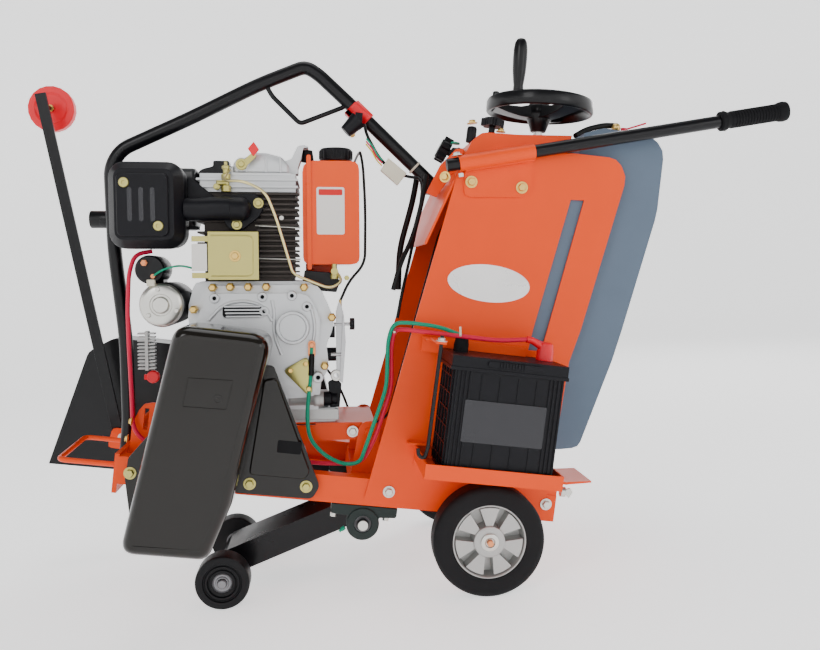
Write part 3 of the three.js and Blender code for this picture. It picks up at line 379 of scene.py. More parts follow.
def front_wheel(side):
    """Dark cast polyurethane wheel with stepped rings and a sealed bearing."""
    word = "left" if side == NEAR else "right"
    centre = (-354.55, 0, 50.1)
    wheel = Kit(FLOOR)
    profile = [(18.5, 98), (49, 97), (49.8, 100), (49.8, 133), (48.5, 136.5), (45, 138), (36, 138),
        (34.5, 135), (33, 135),
               (31, 137), (27.5, 137), (26, 133.5), (24.5, 133.5), (23.5, 136), (18.5, 136)]
    wheel.ring([(r, side * t) for r, t in profile], centre, "Y", 64)
    wheel.done("wheel_body_" + word, "polyurethane", "front_wheel_" + word,
        replaces=["front_wheel_" + word], angle=45)
    race = Kit(FLOOR)
    profile = [(9.2, 99), (18.4, 99), (18.4, 135), (17, 136.5), (15.5, 134.5), (12.5, 134.5),
        (11.5, 136.5), (9.2, 136.5)]
    race.ring([(r, side * t) for r, t in profile], centre, "Y", 48)
    race.done("wheel_race_" + word, "grey_iron", "front_wheel_" + word, angle=40)
    end = Kit(FLOOR)
    end.turned([(0, side * 137), (8.4, side * 137), (8.4, side * 141), (7, side * 142.5),
        (0, side * 142.5)], centre, "Y", 24)
    end.done("front_axle_end_" + word, "grey_iron", "front_arm", angle=40)


# ---------------------------------------------------------------- controls
def handwheel():
    """Dished black wheel with three spokes and a hub cone, and the bare screw below it."""
    wheel = Kit(SCREW)
    section = [(106, 50), (106.3, 58), (106, 68), (104, 73), (99, 75), (92, 74.5), (87, 71), (86, 66),
        (90, 58), (96, 50),
               (100, 46.5), (104, 47)]
    wheel.ring(section, (0, 0, 0), "Z", 96)
    for i in range(3):
        angle = math.radians(180 + 120 * i)
        along = Vector((math.cos(angle), math.sin(angle), 0))
        across = Vector((-along.y, along.x, 0))
        rings = []
        for reach, width, low, high in ((14, 18, 36, 64), (40, 17, 38, 58), (66, 19, 43, 58),
            (92, 26, 50, 66)):
            ring = [along * reach + across * width + Vector((0, 0, low)),
                    along * reach + across * width * 0.8 + Vector((0, 0, high)),
                    along * reach - across * width * 0.8 + Vector((0, 0, high)),
                    along * reach - across * width + Vector((0, 0, low))]
            rings.append(ring)
        wheel.skin(rings)
    wheel.turned([(0, 12), (15, 12), (19, 24), (26, 42), (26, 60), (20, 68), (12, 70), (0, 70)],
        (0, 0, 0), "Z", 40)
    wheel.done("wheel_moulding", "black_coat", "handwheel", slot="black_plastic", replaces=["handwheel"],
        bevel=1.5, angle=40)
    cap = Kit(SCREW)
    cap.bolt((0, 0, 69), (0, 0, 1), 17)
    cap.done("wheel_nut", "bright_zinc", "handwheel", bevel=0.6)
    stub = Kit(SCREW)
    stub.turned([(0, 66), (7, 66), (7, 90), (5.5, 92), (0, 92)], (-84, 30, 0), "Z", 20)
    stub.done("wheel_stub", "black_coat", "handwheel", slot="black_plastic")
    screw = Kit(SCREW)
    profile = [(0, -478), (9.2, -476)]
    along = -470
    while along < -8:
        profile += [(9.2, along), (8.0, along + 2), (8.0, along + 3), (9.2, along + 5)]
        along += 8
    profile += [(9.2, -6), (9.2, 14), (0, 14)]
    screw.turned(profile, (0, 0, 0), "Z", 28)
    screw.done("screw_thread", "zinc_steel", "handwheel", replaces=["depth_screw"], angle=60)
    grip = Kit(SCREW)
    profile = [(0, 73.5), (9, 73.5), (10, 76), (9.5, 84), (11, 94), (13, 112), (13.8, 134), (13.4, 152),
        (11.6, 164),
               (8, 170.5), (4, 172), (0, 172)]
    grip.turned(profile, (-62, -69, 0), "Z", 32)
    grip.done("spinner", "black_coat", "spinner", slot="black_plastic", replaces=["spinner_grip"], angle=50)


def along_handle(side, distance, plane=0):
    """A point on a handle's axis in the body frame, at a distance from the socket's end."""
    angle = math.radians(16.6)
    return (-129 + distance * math.cos(angle), side * (190 + plane), 654 + distance * math.sin(angle))


def handle(side):
    """Black tube, a flange and a ribbed rubber grip."""
    word = "left" if side == NEAR else "right"
    axis = Vector((math.cos(math.radians(16.6)), 0, math.sin(math.radians(16.6))))
    start = -22 if side == NEAR else 73
    centre = along_handle(side, 0 if side == NEAR else -95)
    tube = Kit()
    tube.turned([(0, start), (10.4, start), (11.4, start + 1), (11.4, 500), (0, 500)], centre, axis, 32)
    tube.done("handle_tube_" + word, "black_coat", "handle_" + word, replaces=["handle_" + word], angle=40)
    grip = Kit()
    profile = [(0, 484), (15, 484), (17.5, 486), (17.5, 491), (18.2, 493), (15.2, 499), (14, 503)]
    along = 506
    while along < 592:
        profile += [(15.6, along), (15.6, along + 2.6), (14.3, along + 3.4), (14.3, along + 4.8)]
        along += 5.6
    profile += [(15.6, 594), (17.5, 599), (18.2, 606), (17, 612), (12, 615), (0, 615.5)]
    grip.turned(profile, centre, axis, 36)
    grip.done("handle_grip_" + word, "rubber_black", "handle_" + word, angle=32)


# ---------------------------------------------------------------- tubes and cables
def bail():
    """Bent tube over the engine with a lifting eye of thin rod."""
    kit = Kit()
    route = [(-682, 0, 44.3), (-682, 0, 98), (-703, 0, 260), (-742, 0, 432), (-764, 0, 586),
        (-748, 0, 622), (-624, 0, 700),
             (-505, 0, 780), (-421, 0, 827), (-394, 0, 815), (-328, 0, 768), (-175, 0, 655), (-144, 0, 632)]
    kit.tube(route, 12.9, bend=34, sides=32)
    kit.tube([(-493, 0, 783), (-478, 0, 762), (-419, 0, 717), (-340, 0, 760), (-332, 0, 768)], 4.6,
        bend=9, sides=16)
    kit.box(-164, -140, -15, 15, 615, 642)
    kit.done("bail_hoop", "black_coat", replaces=["bail_tube"], bevel=0.6, angle=50)


def cable(name, points, radius, paint, node, place=BODY, bend=22):
    kit = Kit(place)
    kit.tube(points, radius, bend=bend, sides=12)
    kit.done(name, paint, replaces=[node], angle=60)


def engine_points(points):
    """Points of the engine's frame in the body's frame."""
    angle = math.radians(-7)
    out = []
    for x, y, z in points:
        out.append((-223.7 + x * math.cos(angle) + z * math.sin(angle), y,
                    148.5 - x * math.sin(angle) + z * math.cos(angle)))
    return out


def cables():
    """Battery leads, throttle cable, lamp lead and the fuel pipe, each whole from end to end."""
    ground = [(-92, -226, 344), (-92, -226, 356), (-130, -200, 366), (-180, -182, 366), (-208, -168, 362),
        (-214, -160, 330),
              (-206, -158, 244), (-226, -150, 150), (-236, -132, 96), (-262, -126, 88), (-300, -126, 100),
              (-334, -128, 130)]
    ground += engine_points([(-115, -128, 40), (-108, -126, 110), (-105, -126, 168)])
    cable("ground_lead", ground, 3.7, "cable_green", "ground_cable")
    starter = [(56, -226, 344), (56, -226, 356), (30, -232, 364), (-30, -236, 355), (-88, -244, 356),
        (-140, -206, 354),
               (-186, -182, 353), (-204, -160, 350), (-206, -150, 318), (-196, -149, 244),
               (-214, -146, 150),
               (-232, -120, 92), (-300, -114, 84), (-610, -114, 84), (-650, -114, 110), (-660, -108, 175)]
    starter += engine_points([(-436, -92, 162), (-438, -88, 230), (-436, -80, 300), (-426, -72, 334),
        (-396, -66, 340)])
    cable("starter_lead", starter, 3.9, "cable_red", "starter_cable")
    throttle = engine_points([(-51, -60, 246), (-34, -64, 284), (-4, -70, 316), (-2, -60, 420),
        (-6, -60, 500),
                              (-10, -40, 530), (-10, 100, 542), (-16, 176, 530), (-90, 178, 400),
                              (-100, 150, 120),
                              (-50, 120, 60)])
    throttle += [(-240, 124, 120), (-170, 130, 130), (-146, 110, 300), (-112, 60, 560), (-76, 20, 640),
        (-82, 2, 700)]
    cable("throttle_bowden", throttle, 2.6, "cable_black", "throttle_cable", bend=40)
    lamp = [(-296, -30, 727), (-290, -44, 706), (-262, -58, 664), (-232, -62, 640), (-200, -60, 636),
        (-184, -66, 636),
            (-176, -86, 622), (-178, -100, 566), (-184, -104, 510), (-190, -120, 460), (-196, -136, 420),
            (-200, -141, 370)]
    cable("lamp_wire", lamp, 3, "cable_black", "lamp_lead", bend=18)
    pipe = [(-252, -82, 488), (-262, -118, 464), (-222, -142, 462), (-184, -140, 444), (-166, -132, 398),
        (-138, -126, 300),
            (-128, -124, 293), (-70, -112, 270), (-46, -96, 284), (-62, -84, 306)]
    cable("injector_pipe", pipe, 2.6, "pipe_zinc", "fuel_pipe", place=ENGINE, bend=18)


def curved(points, steps=5):
    """A closed x, z outline whose corners are rounded where a point has a third value."""
    outline = []
    count = len(points)
    for i, point in enumerate(points):
        corner = Vector(point[:2])
        if len(point) < 3:
            outline.append(tuple(corner))
            continue
        into = Vector(points[i - 1][:2]) - corner
        out = Vector(points[(i + 1) % count][:2]) - corner
        half = into.angle(out) / 2
        reach = min(point[2] / math.tan(half), into.length * 0.48, out.length * 0.48)
        start = corner + into.normalized() * reach
        end = corner + out.normalized() * reach
        for k in range(steps + 1):
            t = k / steps
            outline.append(tuple((1 - t) ** 2 * start + 2 * t * (1 - t) * corner + t * t * end))
    return outline


def inset(outline, amount):
    """The outline moved inwards by an amount, point by point."""
    area = 0
    count = len(outline)
    for i in range(count):
        (x0, z0), (x1, z1) = outline[i], outline[(i + 1) % count]
        area += x0 * z1 - x1 * z0
    turn = 1 if area > 0 else -1
    moved = []
    for i in range(count):
        before = (Vector(outline[i]) - Vector(outline[i - 1])).normalized()
        after = (Vector(outline[(i + 1) % count]) - Vector(outline[i])).normalized()
        normal = Vector((-before.y - after.y, before.x + after.x)) * turn
        normal.normalize()
        lean = max(0.5, normal.dot(Vector((-after.y, after.x)) * turn))
        moved.append(tuple(Vector(outline[i]) + normal * amount / lean))
    return moved


def stacked(kit, layers):
    """Skins x, z outlines of equal length, each at its own y."""
    kit.skin([[(x, y, z) for x, z in outline] for outline, y in layers])


# ---------------------------------------------------------------- engine
def air_cleaner():
    """Matt black housing with sloping sides round a raised panel, three vents and two screws."""
    kit = Kit(ENGINE)
    outer = soft_box(-460, -328, 343, 497, 29)
    stacked(kit, [(inset(outer, 10), -52), (inset(outer, 2), -60), (inset(outer, 2), -92),
        (inset(outer, 0), -96),
                  (outer, -114), (inset(outer, 1.5), -119), (inset(outer, 15), -139),
                  (inset(outer, 17), -140)])
    kit.box(-345, -312.5, -62, -42, 380, 386)
    panel = soft_box(-440, -352, 364, 473, 9)
    stacked(kit, [(panel, -139), (panel, -144), (inset(panel, 1.5), -145.5)])
    kit.done("air_cleaner_shell", "black_plastic", replaces=["air_cleaner"], angle=28)
    vents = Kit(ENGINE)
    for x in (-417, -397.5, -378):
        vents.plate(soft_box(x - 4, x + 4, 390, 449, 3.9), -146.2, -145)
    vents.done("air_vents", DARK_LABEL_AND_SHADE, slot="black_plastic")
    screws = Kit(ENGINE)
    for x, z in ((-426, 457), (-369, 382)):
        screws.ring([(3.5, -148.5), (8, -148.5), (9, -147), (9, -145), (3.5, -145)], (x, 0, z), "Y", 24)
        screws.turned([(0, -146.5), (3.6, -146.5), (3.6, -145), (0, -145)], (x, 0, z), "Y", 6)
    screws.done("air_cleaner_screws", "olive_zinc", angle=35)


def intake():
    """Fat elbow that runs from the air cleaner to a two-bolt flange on the head."""
    kit = Kit(ENGINE)
    kit.tube([(-327.7, -104, 414), (-300, -108, 414), (-262, -112, 416), (-226, -114, 414)], 21, bend=30,
        sides=32)
    dome = [(0.5, 15), (9, 13.5), (16, 9), (20, 3), (21, 0), (21, -22)]
    kit.turned(dome, (-226, -114, 414), (1, 0, 0), 32)
    flange = curved([(-270, 440, 10), (-204, 444, 14), (-186, 424, 18), (-198, 402, 12), (-228, 378, 14),
        (-252, 378, 12),
                     (-262, 396, 10)])
    kit.plate(flange, -104, -86.4)
    kit.plate([(-327.5, 472), (-320, 472), (-270, 432), (-270, 425), (-327.5, 400)], -90, -87)
    kit.done("intake_elbow", "black_plastic", replaces=["intake_duct"], bevel=2.5, angle=50)
    bolts = Kit(ENGINE)
    bolts.bolt((-199, -104, 426), (0, -1, 0), 11)
    bolts.bolt((-238, -104, 387), (0, -1, 0), 11)
    bolts.done("intake_bolts", "olive_zinc", bevel=0.5)


def exhaust():
    """Round silencer behind the air cleaner with a short outlet, and the black duct guard beside it."""
    kit = Kit(ENGINE)
    kit.turned([(0, -470), (56, -470), (61, -466), (62, -460), (62, -340), (61, -334), (56, -330),
        (30, -330), (30, -312.5),
                (0, -312.5)], (0, 66, 446), "X", 56)
    kit.ring([(14, -530), (16, -532), (17, -530), (17, -460), (14, -460)], (0, 38, 404), "X", 32)
    kit.turned([(0, -470), (14, -470), (14, -462), (0, -462)], (0, 38, 404), "X", 24)
    kit.done("silencer", "black_coat", replaces=["muffler"], bevel=0.8, angle=50)
    guard = Kit(ENGINE)
    guard.plate(curved([(-331, 455), (-250, 455), (-250, 513, 10), (-268, 513), (-268, 524), (-300, 524),
        (-300, 513),
                        (-331, 505, 18)]), 62, 96)
    guard.done("duct_guard", "black_coat", bevel=3)


def head_details():
    """Ribbed rocker cover, decompression lever, injector and the bracket that steadies the tank."""
    cover = Kit(ENGINE)
    outline = curved([(-247, 482), (-143, 482), (-145, 500, 10), (-158, 514, 12), (-186, 521, 10),
        (-212, 521, 10),
                      (-226, 510, 8), (-246, 505, 10)])
    stacked(cover, [(outline, 42), (outline, -70), (inset(outline, 1.5), -74.5), (inset(outline, 5), -77)])
    for x in (-222, -186, -160):
        cover.plate(curved([(x - 2, 484), (x + 2, 484), (x + 2, 512, 2), (x - 2, 512, 2)]), -79, -70)
    cover.turned([(0, -82), (13, -82), (13, -70), (0, -70)], (-230, 0, 498), "Y", 32)
    cover.plate(soft_box(-250, -140, 478, 484, 2), -81, 44)
    cover.done("rocker_casting", "cast_aluminium", bevel=1.5, angle=40)
    lever = Kit(ENGINE)
    lever.turned([(0, -92), (5, -92), (6, -90), (6, -88.5), (10, -88.5), (10.5, -87), (10.5, -82.5),
        (0, -82.5)],
                 (-230, 0, 498), "Y", 32)
    lever.plate(curved([(-238, 494, 4), (-228, 488, 5), (-203, 512, 3), (-206, 520, 3), (-214, 516, 3)]),
        -88, -84.5)
    lever.done("decompression_arm", "olive_zinc", "decompression_lever", bevel=0.6)
    tip = Kit(ENGINE)
    tip.plate([(-208, 512), (-197.5, 525), (-207, 539), (-218, 526)], -90, -83)
    tip.done("decompression_tip", "red_plastic", "decompression_lever", replaces=["decompression_lever"],
        bevel=0.8)
    injector = Kit(ENGINE)
    stem = [(0, 448), (9, 448), (9, 458), (6, 460), (6, 470), (8.5, 471), (8.5, 479), (5, 481), (5, 488),
        (7, 489), (7, 494),
            (3, 496), (3, 502), (0, 502)]
    injector.turned(stem, (-258, -88, 0), "Z", 12)
    injector.turned([(0, 0), (5, 0), (5, 16), (3, 17), (0, 17)], (-258, -92, 464), (-1, -0.2, -0.1), 12)
    injector.turned([(0, 0), (6, 0), (6, 8), (4, 9), (4, 14), (0, 14)], (-274, -90, 456), (0, -1, 0), 12)
    injector.done("injector", "olive_zinc", angle=35)
    bracket = Kit(ENGINE)
    bracket.plate(curved([(-162, 484), (-128, 484), (-128, 496), (-122, 512, 4), (-118, 532, 4),
        (-106, 534, 5), (-116, 538, 5),
                          (-128, 536, 6), (-140, 512, 6), (-162, 504)]), -64, -28)
    bracket.done("tank_bracket", "cast_aluminium", bevel=2)
    mount = Kit(ENGINE)
    mount.turned([(0, 508), (12, 508), (9, 530), (0, 530)], (-110, -48, 0), "Z", 24)
    mount.done("rubber_mount", "rubber_black", bevel=1)


CYLINDER_FACE = -112.8  # just in front of the cylinder's near face
COVER_FRONT = -115.6


def cylinder_details():
    """Yellow-zinc cover plate with its bolt and blank label, and dark fins beside it."""
    plate = Kit(ENGINE)
    plate.plate([(-289, 287), (-199, 287), (-199, 374), (-289, 374)], COVER_FRONT, CYLINDER_FACE)
    plate.box(-318, -287, -115, -112.8, 290, 300)
    plate.box(-318, -287, -115, -112.8, 356, 366)
    plate.tube([(-284, -115.6, 294), (-209, -115.6, 294), (-209, -115.6, 367), (-284, -115.6, 367)], 1.3,
        bend=12, sides=8)
    plate.done("zinc_cover", "olive_zinc", bevel=0.6)
    bolt = Kit(ENGINE)
    bolt.bolt((-241, COVER_FRONT, 330), (0, -1, 0), 12)
    for x, z in ((-281, 273), (-250, 274), (-218, 274), (-186, 274), (-118, 273), (-68, 218), (-82, 129),
        (-315, 234)):
        bolt.turned([(0, -132), (5, -132), (7, -130), (8.2, -124), (8.2, -108), (0, -108)], (x, 0, z),
            "Y", 6)
    bolt.done("cover_bolts", "yellow_zinc", bevel=0.5)
    card = Kit(ENGINE)
    card.box(-318, -291, -114.8, -112.8, 303, 352)
    card.done("engine_label", LABEL, slot="zinc_steel")
    fins = Kit(ENGINE)
    z = 300
    while z < 444:
        fins.plate(soft_box(-204, -126, z, z + 3.2, 1.2, 2), -94, -60)
        z += 9.5
    fins.box(-196, -134, -80, -60, 290, 446)
    fins.done("fin_block", "cylinder_dark", angle=40)
    studs = Kit(ENGINE)
    studs.turned([(0, -100), (4, -100), (4, -90), (0, -90)], (-158, 0, 400), "Y", 12)
    studs.tube([(-206, -97, 386), (-124, -97, 382)], 1.3, sides=8)
    studs.tube([(-206, -97, 326), (-124, -97, 324)], 1.3, sides=8)
    studs.done("shroud_rods", "bright_zinc")


def timing_details():
    """Bosses, grille bars, idler ring, zinc-plated triangular cover and the earth lug."""
    cast = Kit(ENGINE)
    cast.ring([(24, -131), (25, -133), (29, -133), (30.5, -131), (30.5, -122), (24, -122)],
        (-139, 0, 200), "Y", 64)
    for x, z in ((-278, 254), (-193, 256), (-140, 258), (-113, 238), (-190, 230)):
        cast.ring([(3.6, -126), (8, -126), (9, -124), (9, -118), (3.6, -118)], (x, 0, z), "Y", 28)
    cast.ring([(4, -128), (9, -128), (10, -126), (10, -108), (4, -108)], (-94, 0, 108), "Y", 28)
    for z in (221, 227, 233, 239):
        cast.plate(soft_box(-262 + (241 - z) * 0.2, -196, z - 1.6, z + 1.6, 1.2, 2), -128, -122)
    cast.tube([(-290, -121, 214), (-262, -121, 244), (-224, -121, 250), (-192, -121, 240),
        (-176, -121, 212)], 3.4, bend=26)
    cast.tube([(-176, -121, 250), (-172, -121, 226), (-174, -121, 190), (-160, -121, 150)], 3.2, bend=26)
    cast.tube([(-106, -121, 240), (-98, -121, 200), (-104, -121, 166)], 3.2, bend=26)
    cast.done("casting_ribs", "cast_aluminium", bevel=0.8, angle=40)
    # Painted shade: black discs fill the bores of the bosses and a black plate fills the gaps between the
    # grille bars, standing in for the shade inside these recesses.
    hole_shade = Kit(ENGINE)
    for x, z in ((-278, 254), (-193, 256), (-140, 258), (-113, 238), (-190, 230), (-94, 108)):
        hole_shade.turned([(0, -122), (3.7, -122), (3.7, -117), (0, -117)], (x, 0, z), "Y", 16)
    hole_shade.plate(soft_box(-264, -194, 219, 241, 6), -125.6, -124)
    hole_shade.done("painted_shade_recesses", "rubber_black")
    cover = Kit(ENGINE)
    triangle = curved([(-158, 122, 8), (-112, 148, 8), (-104, 80, 8), (-116, 78, 6)])
    stacked(cover, [(triangle, -113), (triangle, -127), (inset(triangle, 2), -128.5)])
    cover.done("triangle_cover", "olive_zinc", bevel=0.8)
    screws = Kit(ENGINE)
    for x, z in ((-144, 122), (-116, 134), (-111, 88)):
        screws.bolt((x, -128.5, z), (0, -1, 0), 8, washer=False)
    screws.bolt((-66, -66, 32), (0, -1, 0), 12)
    screws.done("triangle_screws", "yellow_zinc", bevel=0.4)
    lug = Kit(ENGINE)
    lug.plate(soft_box(-112, -98, 146, 176, 6), -128, -124)
    lug.bolt((-105, -128, 168), (0, -1, 0), 9, washer=False)
    lug.done("earth_lug", "copper_bolt", bevel=0.5)
    sleeve = Kit(ENGINE)
    sleeve.tube([(-105, -126, 152), (-106, -126, 130), (-107, -127, 112)], 5.2, sides=14)
    sleeve.done("earth_sleeve", "cable_black")


def sump_details():
    """Round filter housing, the black sensor beside it and the pale foot below."""
    kit = Kit(ENGINE)
    kit.turned([(0, -150), (14, -150), (16.5, -148), (16.5, -104), (18, -102), (18, -92), (16.5, -90),
        (16.5, -84), (0, -84)],
               (0, -70, 59), "X", 40)
    kit.plate(curved([(-150, 22), (-56, 22), (-56, 42, 3), (-150, 44, 3)]), -84, -50)
    kit.done("filter_housing", "turned_aluminium", bevel=1, angle=40)
    black = Kit(ENGINE)
    black.turned([(0, -84), (14, -84), (14, -70), (11, -68), (11, -58), (0, -58)], (0, -68, 60), "X", 28)
    black.plate(curved([(-72, 44), (-54, 44), (-50, 88, 4), (-60, 100, 4), (-76, 92, 4)]), -72, -64)
    black.done("oil_switch", "black_plastic", bevel=1)


def speed_control():
    """Steel bracket at the engine's end with a star knob, stops and the throttle cable's ferrule."""
    kit = Kit(ENGINE)
    kit.plate(curved([(-60, 104, 4), (-50, 100, 4), (-46, 226, 4), (-54, 250, 4), (-60, 226)]), -84, -80)
    kit.plate(curved([(-54, 96), (-48, 92), (-42, 170, 3), (-46, 240, 3)]), -90, -87)
    kit.turned([(0, -64), (3, -64), (3, -30), (0, -30)], (0, -82, 203), "X", 12)
    kit.turned([(0, -70), (4, -70), (4, -48), (0, -48)], (0, -82, 146), "X", 12)
    kit.done("speed_bracket", "steel", bevel=0.6)
    knob = Kit(ENGINE)
    star = []
    for i in range(40):
        angle = 2 * math.pi * i / 40
        radius = 10 + 1.8 * math.cos(5 * angle)
        star.append((radius * math.cos(angle), radius * math.sin(angle)))
    knob.skin([[(x, -82 + a, 203 + b) for a, b in star] for x in (-34, -25)])
    knob.turned([(0, -80), (11, -80), (11, -62), (0, -62)], (0, -76, 188), "X", 24)
    knob.turned([(0, -84), (13, -84), (13, -60), (9, -54), (0, -54)], (0, -70, 145), "X", 24)
    knob.done("speed_knob", "black_plastic", bevel=0.8)
    brass = Kit(ENGINE)
    brass.turned([(0, 214), (3.4, 214), (3.4, 232), (2.8, 234), (2.8, 248), (0, 248)], (-51, -60, 0), "Z",
        12)
    brass.turned([(0, 196), (1.4, 196), (1.4, 216), (0, 216)], (-51, -60, 0), "Z", 10)
    brass.done("cable_ferrule", "brass_fitting")
    nut = Kit(ENGINE)
    nut.ring([(4.6, -86), (10, -86), (11, -84), (11, -76), (4.6, -76)], (-60, 0, 106), "Y", 24)
    nut.done("stop_collar", "bright_zinc", bevel=0.6)


def starter():
    """Black motor with a bright end cap, and the solenoid with its copper posts above it."""
    body = Kit(ENGINE)
    body.turned([(0, -104), (38, -104), (40.5, -101), (40.5, 34), (38, 36), (0, 36)], (-374, 0, 242), "Y",
        56)
    body.turned([(0, -98), (24, -98), (26, -95), (26, -12), (24, -10), (0, -10)], (-396, 0, 306), "Y", 40)
    body.box(-402, -378, -60, -20, 262, 296)
    body.box(-374, -330.6, -10, 30, 214, 262)
    body.done("starter_body", "black_coat", replaces=["starter_motor"], bevel=1, angle=40)
    cap = Kit(ENGINE)
    cap.turned([(0, -118), (13, -118), (15, -116), (15.5, -113), (19, -112.5), (20, -114), (31, -113),
        (37, -110), (39.5, -105),
                (39.5, -98), (0, -98)], (-374, 0, 242), "Y", 56)
    for i in range(3):
        angle = math.radians(100 + 120 * i)
        cap.turned([(0, -116), (3.6, -116), (4.2, -115), (4.2, -108), (0, -108)],
                   (-374 + 29 * math.cos(angle), 0, 242 + 29 * math.sin(angle)), "Y", 16)
    cap.done("starter_cap", "bright_zinc", bevel=0.5, angle=40)
    posts = Kit(ENGINE)
    posts.turned([(0, -108), (4, -108), (4, -98), (0, -98)], (-404, 0, 318), "Y", 12)
    posts.turned([(0, -108), (4, -108), (4, -98), (0, -98)], (-388, 0, 294), "Y", 12)
    posts.turned([(0, -104), (6, -104), (6, -98), (0, -98)], (-404, 0, 318), "Y", 6)
    posts.done("solenoid_posts", "copper_bolt")
    wire = Kit(ENGINE)
    wire.tube([(-388, -106, 294), (-370, -112, 306), (-340, -112, 314), (-308, -108, 306)], 1.9, bend=14,
        sides=10)
    wire.done("starter_signal_wire", "cable_green")
    plug = Kit(ENGINE)
    plug.box(-398, -384, -114, -104, 276, 288)
    plug.done("starter_plug", WHITE, slot="zinc_steel", bevel=1)
    fins = Kit(ENGINE)
    for i in range(11):
        fins.box(-432, -400, -44, -28, 118 + i * 6.6, 121 + i * 6.6)
    fins.box(-418, -412, -46, -26, 116, 190)
    fins.done("regulator", "turned_aluminium", bevel=0.5)
    cap = Kit(ENGINE)
    cap.turned([(0, -50), (10, -50), (12, -47), (12, -38), (9, -36), (0, -36)], (-404, 0, 104), "Y", 24)
    cap.box(-420, -404, -48, -42, 99, 109)
    cap.done("dipstick_cap", "red_plastic", bevel=1)


def fuel_details():
    """Tank label with a plain red band, the filler's black cap, the tap and its fittings."""
    card = Kit(ENGINE)
    card.plate(soft_box(-94, -42, 371, 459, 4), -76.2, -74.9)
    card.done("tank_label", LABEL, slot="tank_enamel")
    band = Kit(ENGINE)
    band.plate(soft_box(-90, -46, 444, 455, 2), -76.8, -76)
    band.done("tank_label_band", LABEL_RED, slot="tank_enamel")
    cap = Kit(ENGINE)
    profile = [(0, 516.6), (31, 516.6), (31.5, 518), (31.5, 537), (29, 540), (0, 541)]
    cap.turned(profile, (-56, 0, 0), "Z", 48)
    for i in range(24):
        angle = 2 * math.pi * i / 24
        cap.turned([(0, 520), (1.6, 520), (1.6, 536), (0, 536)],
                   (-56 + 31.4 * math.cos(angle), 31.4 * math.sin(angle), 0), "Z", 8)
    cap.done("filler_cap", "black_plastic", "fuel_cap", replaces=["fuel_cap"], angle=40)
    tap = Kit(ENGINE)
    tap.turned([(0, 288), (8, 288), (8, 296), (5, 298), (5, 316), (0, 316)], (-62, -84, 0), "Z", 16)
    tap.turned([(0, -100), (7, -100), (7, -84), (0, -84)], (-62, 0, 302), "Y", 12)
    tap.turned([(0, -118), (5, -118), (5, -108), (0, -108)], (-40, 0, 290), "Y", 6)
    tap.done("fuel_tap", "olive_zinc", bevel=0.5)
    strap = Kit(ENGINE)
    strap.plate(curved([(-124, 268), (-58, 262), (-50, 284, 4), (-70, 300), (-118, 304)]), -50, 60)
    strap.done("tank_cradle", "black_coat", bevel=1)


# ---------------------------------------------------------------- guards, chassis and column
def belt_cover():
    """Deep glossy moulding with rolled edges, a mounting flange with a raised field, and its bolts."""
    kit = Kit()
    outline = curved([(-570, 325, 32), (-412, 325, 32), (-449, 40), (-478, -57, 24), (-620, -57, 24)], 8)
    layers = [(outline, -176), (outline, -270), (inset(outline, 1.2), -277), (inset(outline, 4), -284),
              (inset(outline, 8.5), -289), (inset(outline, 13), -291), (inset(outline, 16), -291.4),
              (inset(outline, 18), -290.6), (inset(outline, 19.5), -290)]
    stacked(kit, layers)
    flange = curved([(-470, 262, 6), (-410, 264, 10), (-306, 58, 18), (-317, 34, 14), (-460, 33)])
    stacked(kit, [(flange, -176), (flange, -181), (inset(flange, 2), -182.5)])
    raised = curved([(-424, 238, 8), (-403, 244, 10), (-326, 84, 14), (-334, 70, 10), (-432, 70, 8)])
    stacked(kit, [(raised, -180), (raised, -188), (inset(raised, 3), -191)])
    left = curved([(-590, 150), (-640, 78, 10), (-642, 40, 12), (-624, -42), (-600, -50)])
    stacked(kit, [(left, -176), (left, -181), (inset(left, 2), -182.5)])
    frame_edge = [(-538, 243), (-467, 246), (-473, 198), (-542, 196), (-538, 243)]
    kit.tube([(x, -290.2, z) for x, z in frame_edge], 0.9, bend=3, sides=8)
    kit.ring([(5, -291), (6.5, -291.6), (8, -291), (8, -289), (5, -289)], (-488, 0, 213), "Y", 32)
    kit.turned([(0, -291.6), (3, -291), (3, -289), (0, -289)], (-488, 0, 213), "Y", 24)
    kit.done("belt_moulding", "black_shell", replaces=["belt_guard"], bevel=0, angle=50)
    patch = Kit()
    patch.plate(soft_box(-388, -346, 114, 136, 3), -191.6, -190.6)
    patch.done("flange_sticker", "rubber_black", slot="black_shell")
    bolts = Kit()
    for x, z in ((-429, 52), (-330, 56), (-634, 52)):
        bolts.bolt((x, -182.5, z), (0, -1, 0), 13)
    bolts.done("guard_bolts", "olive_zinc", bevel=0.5)


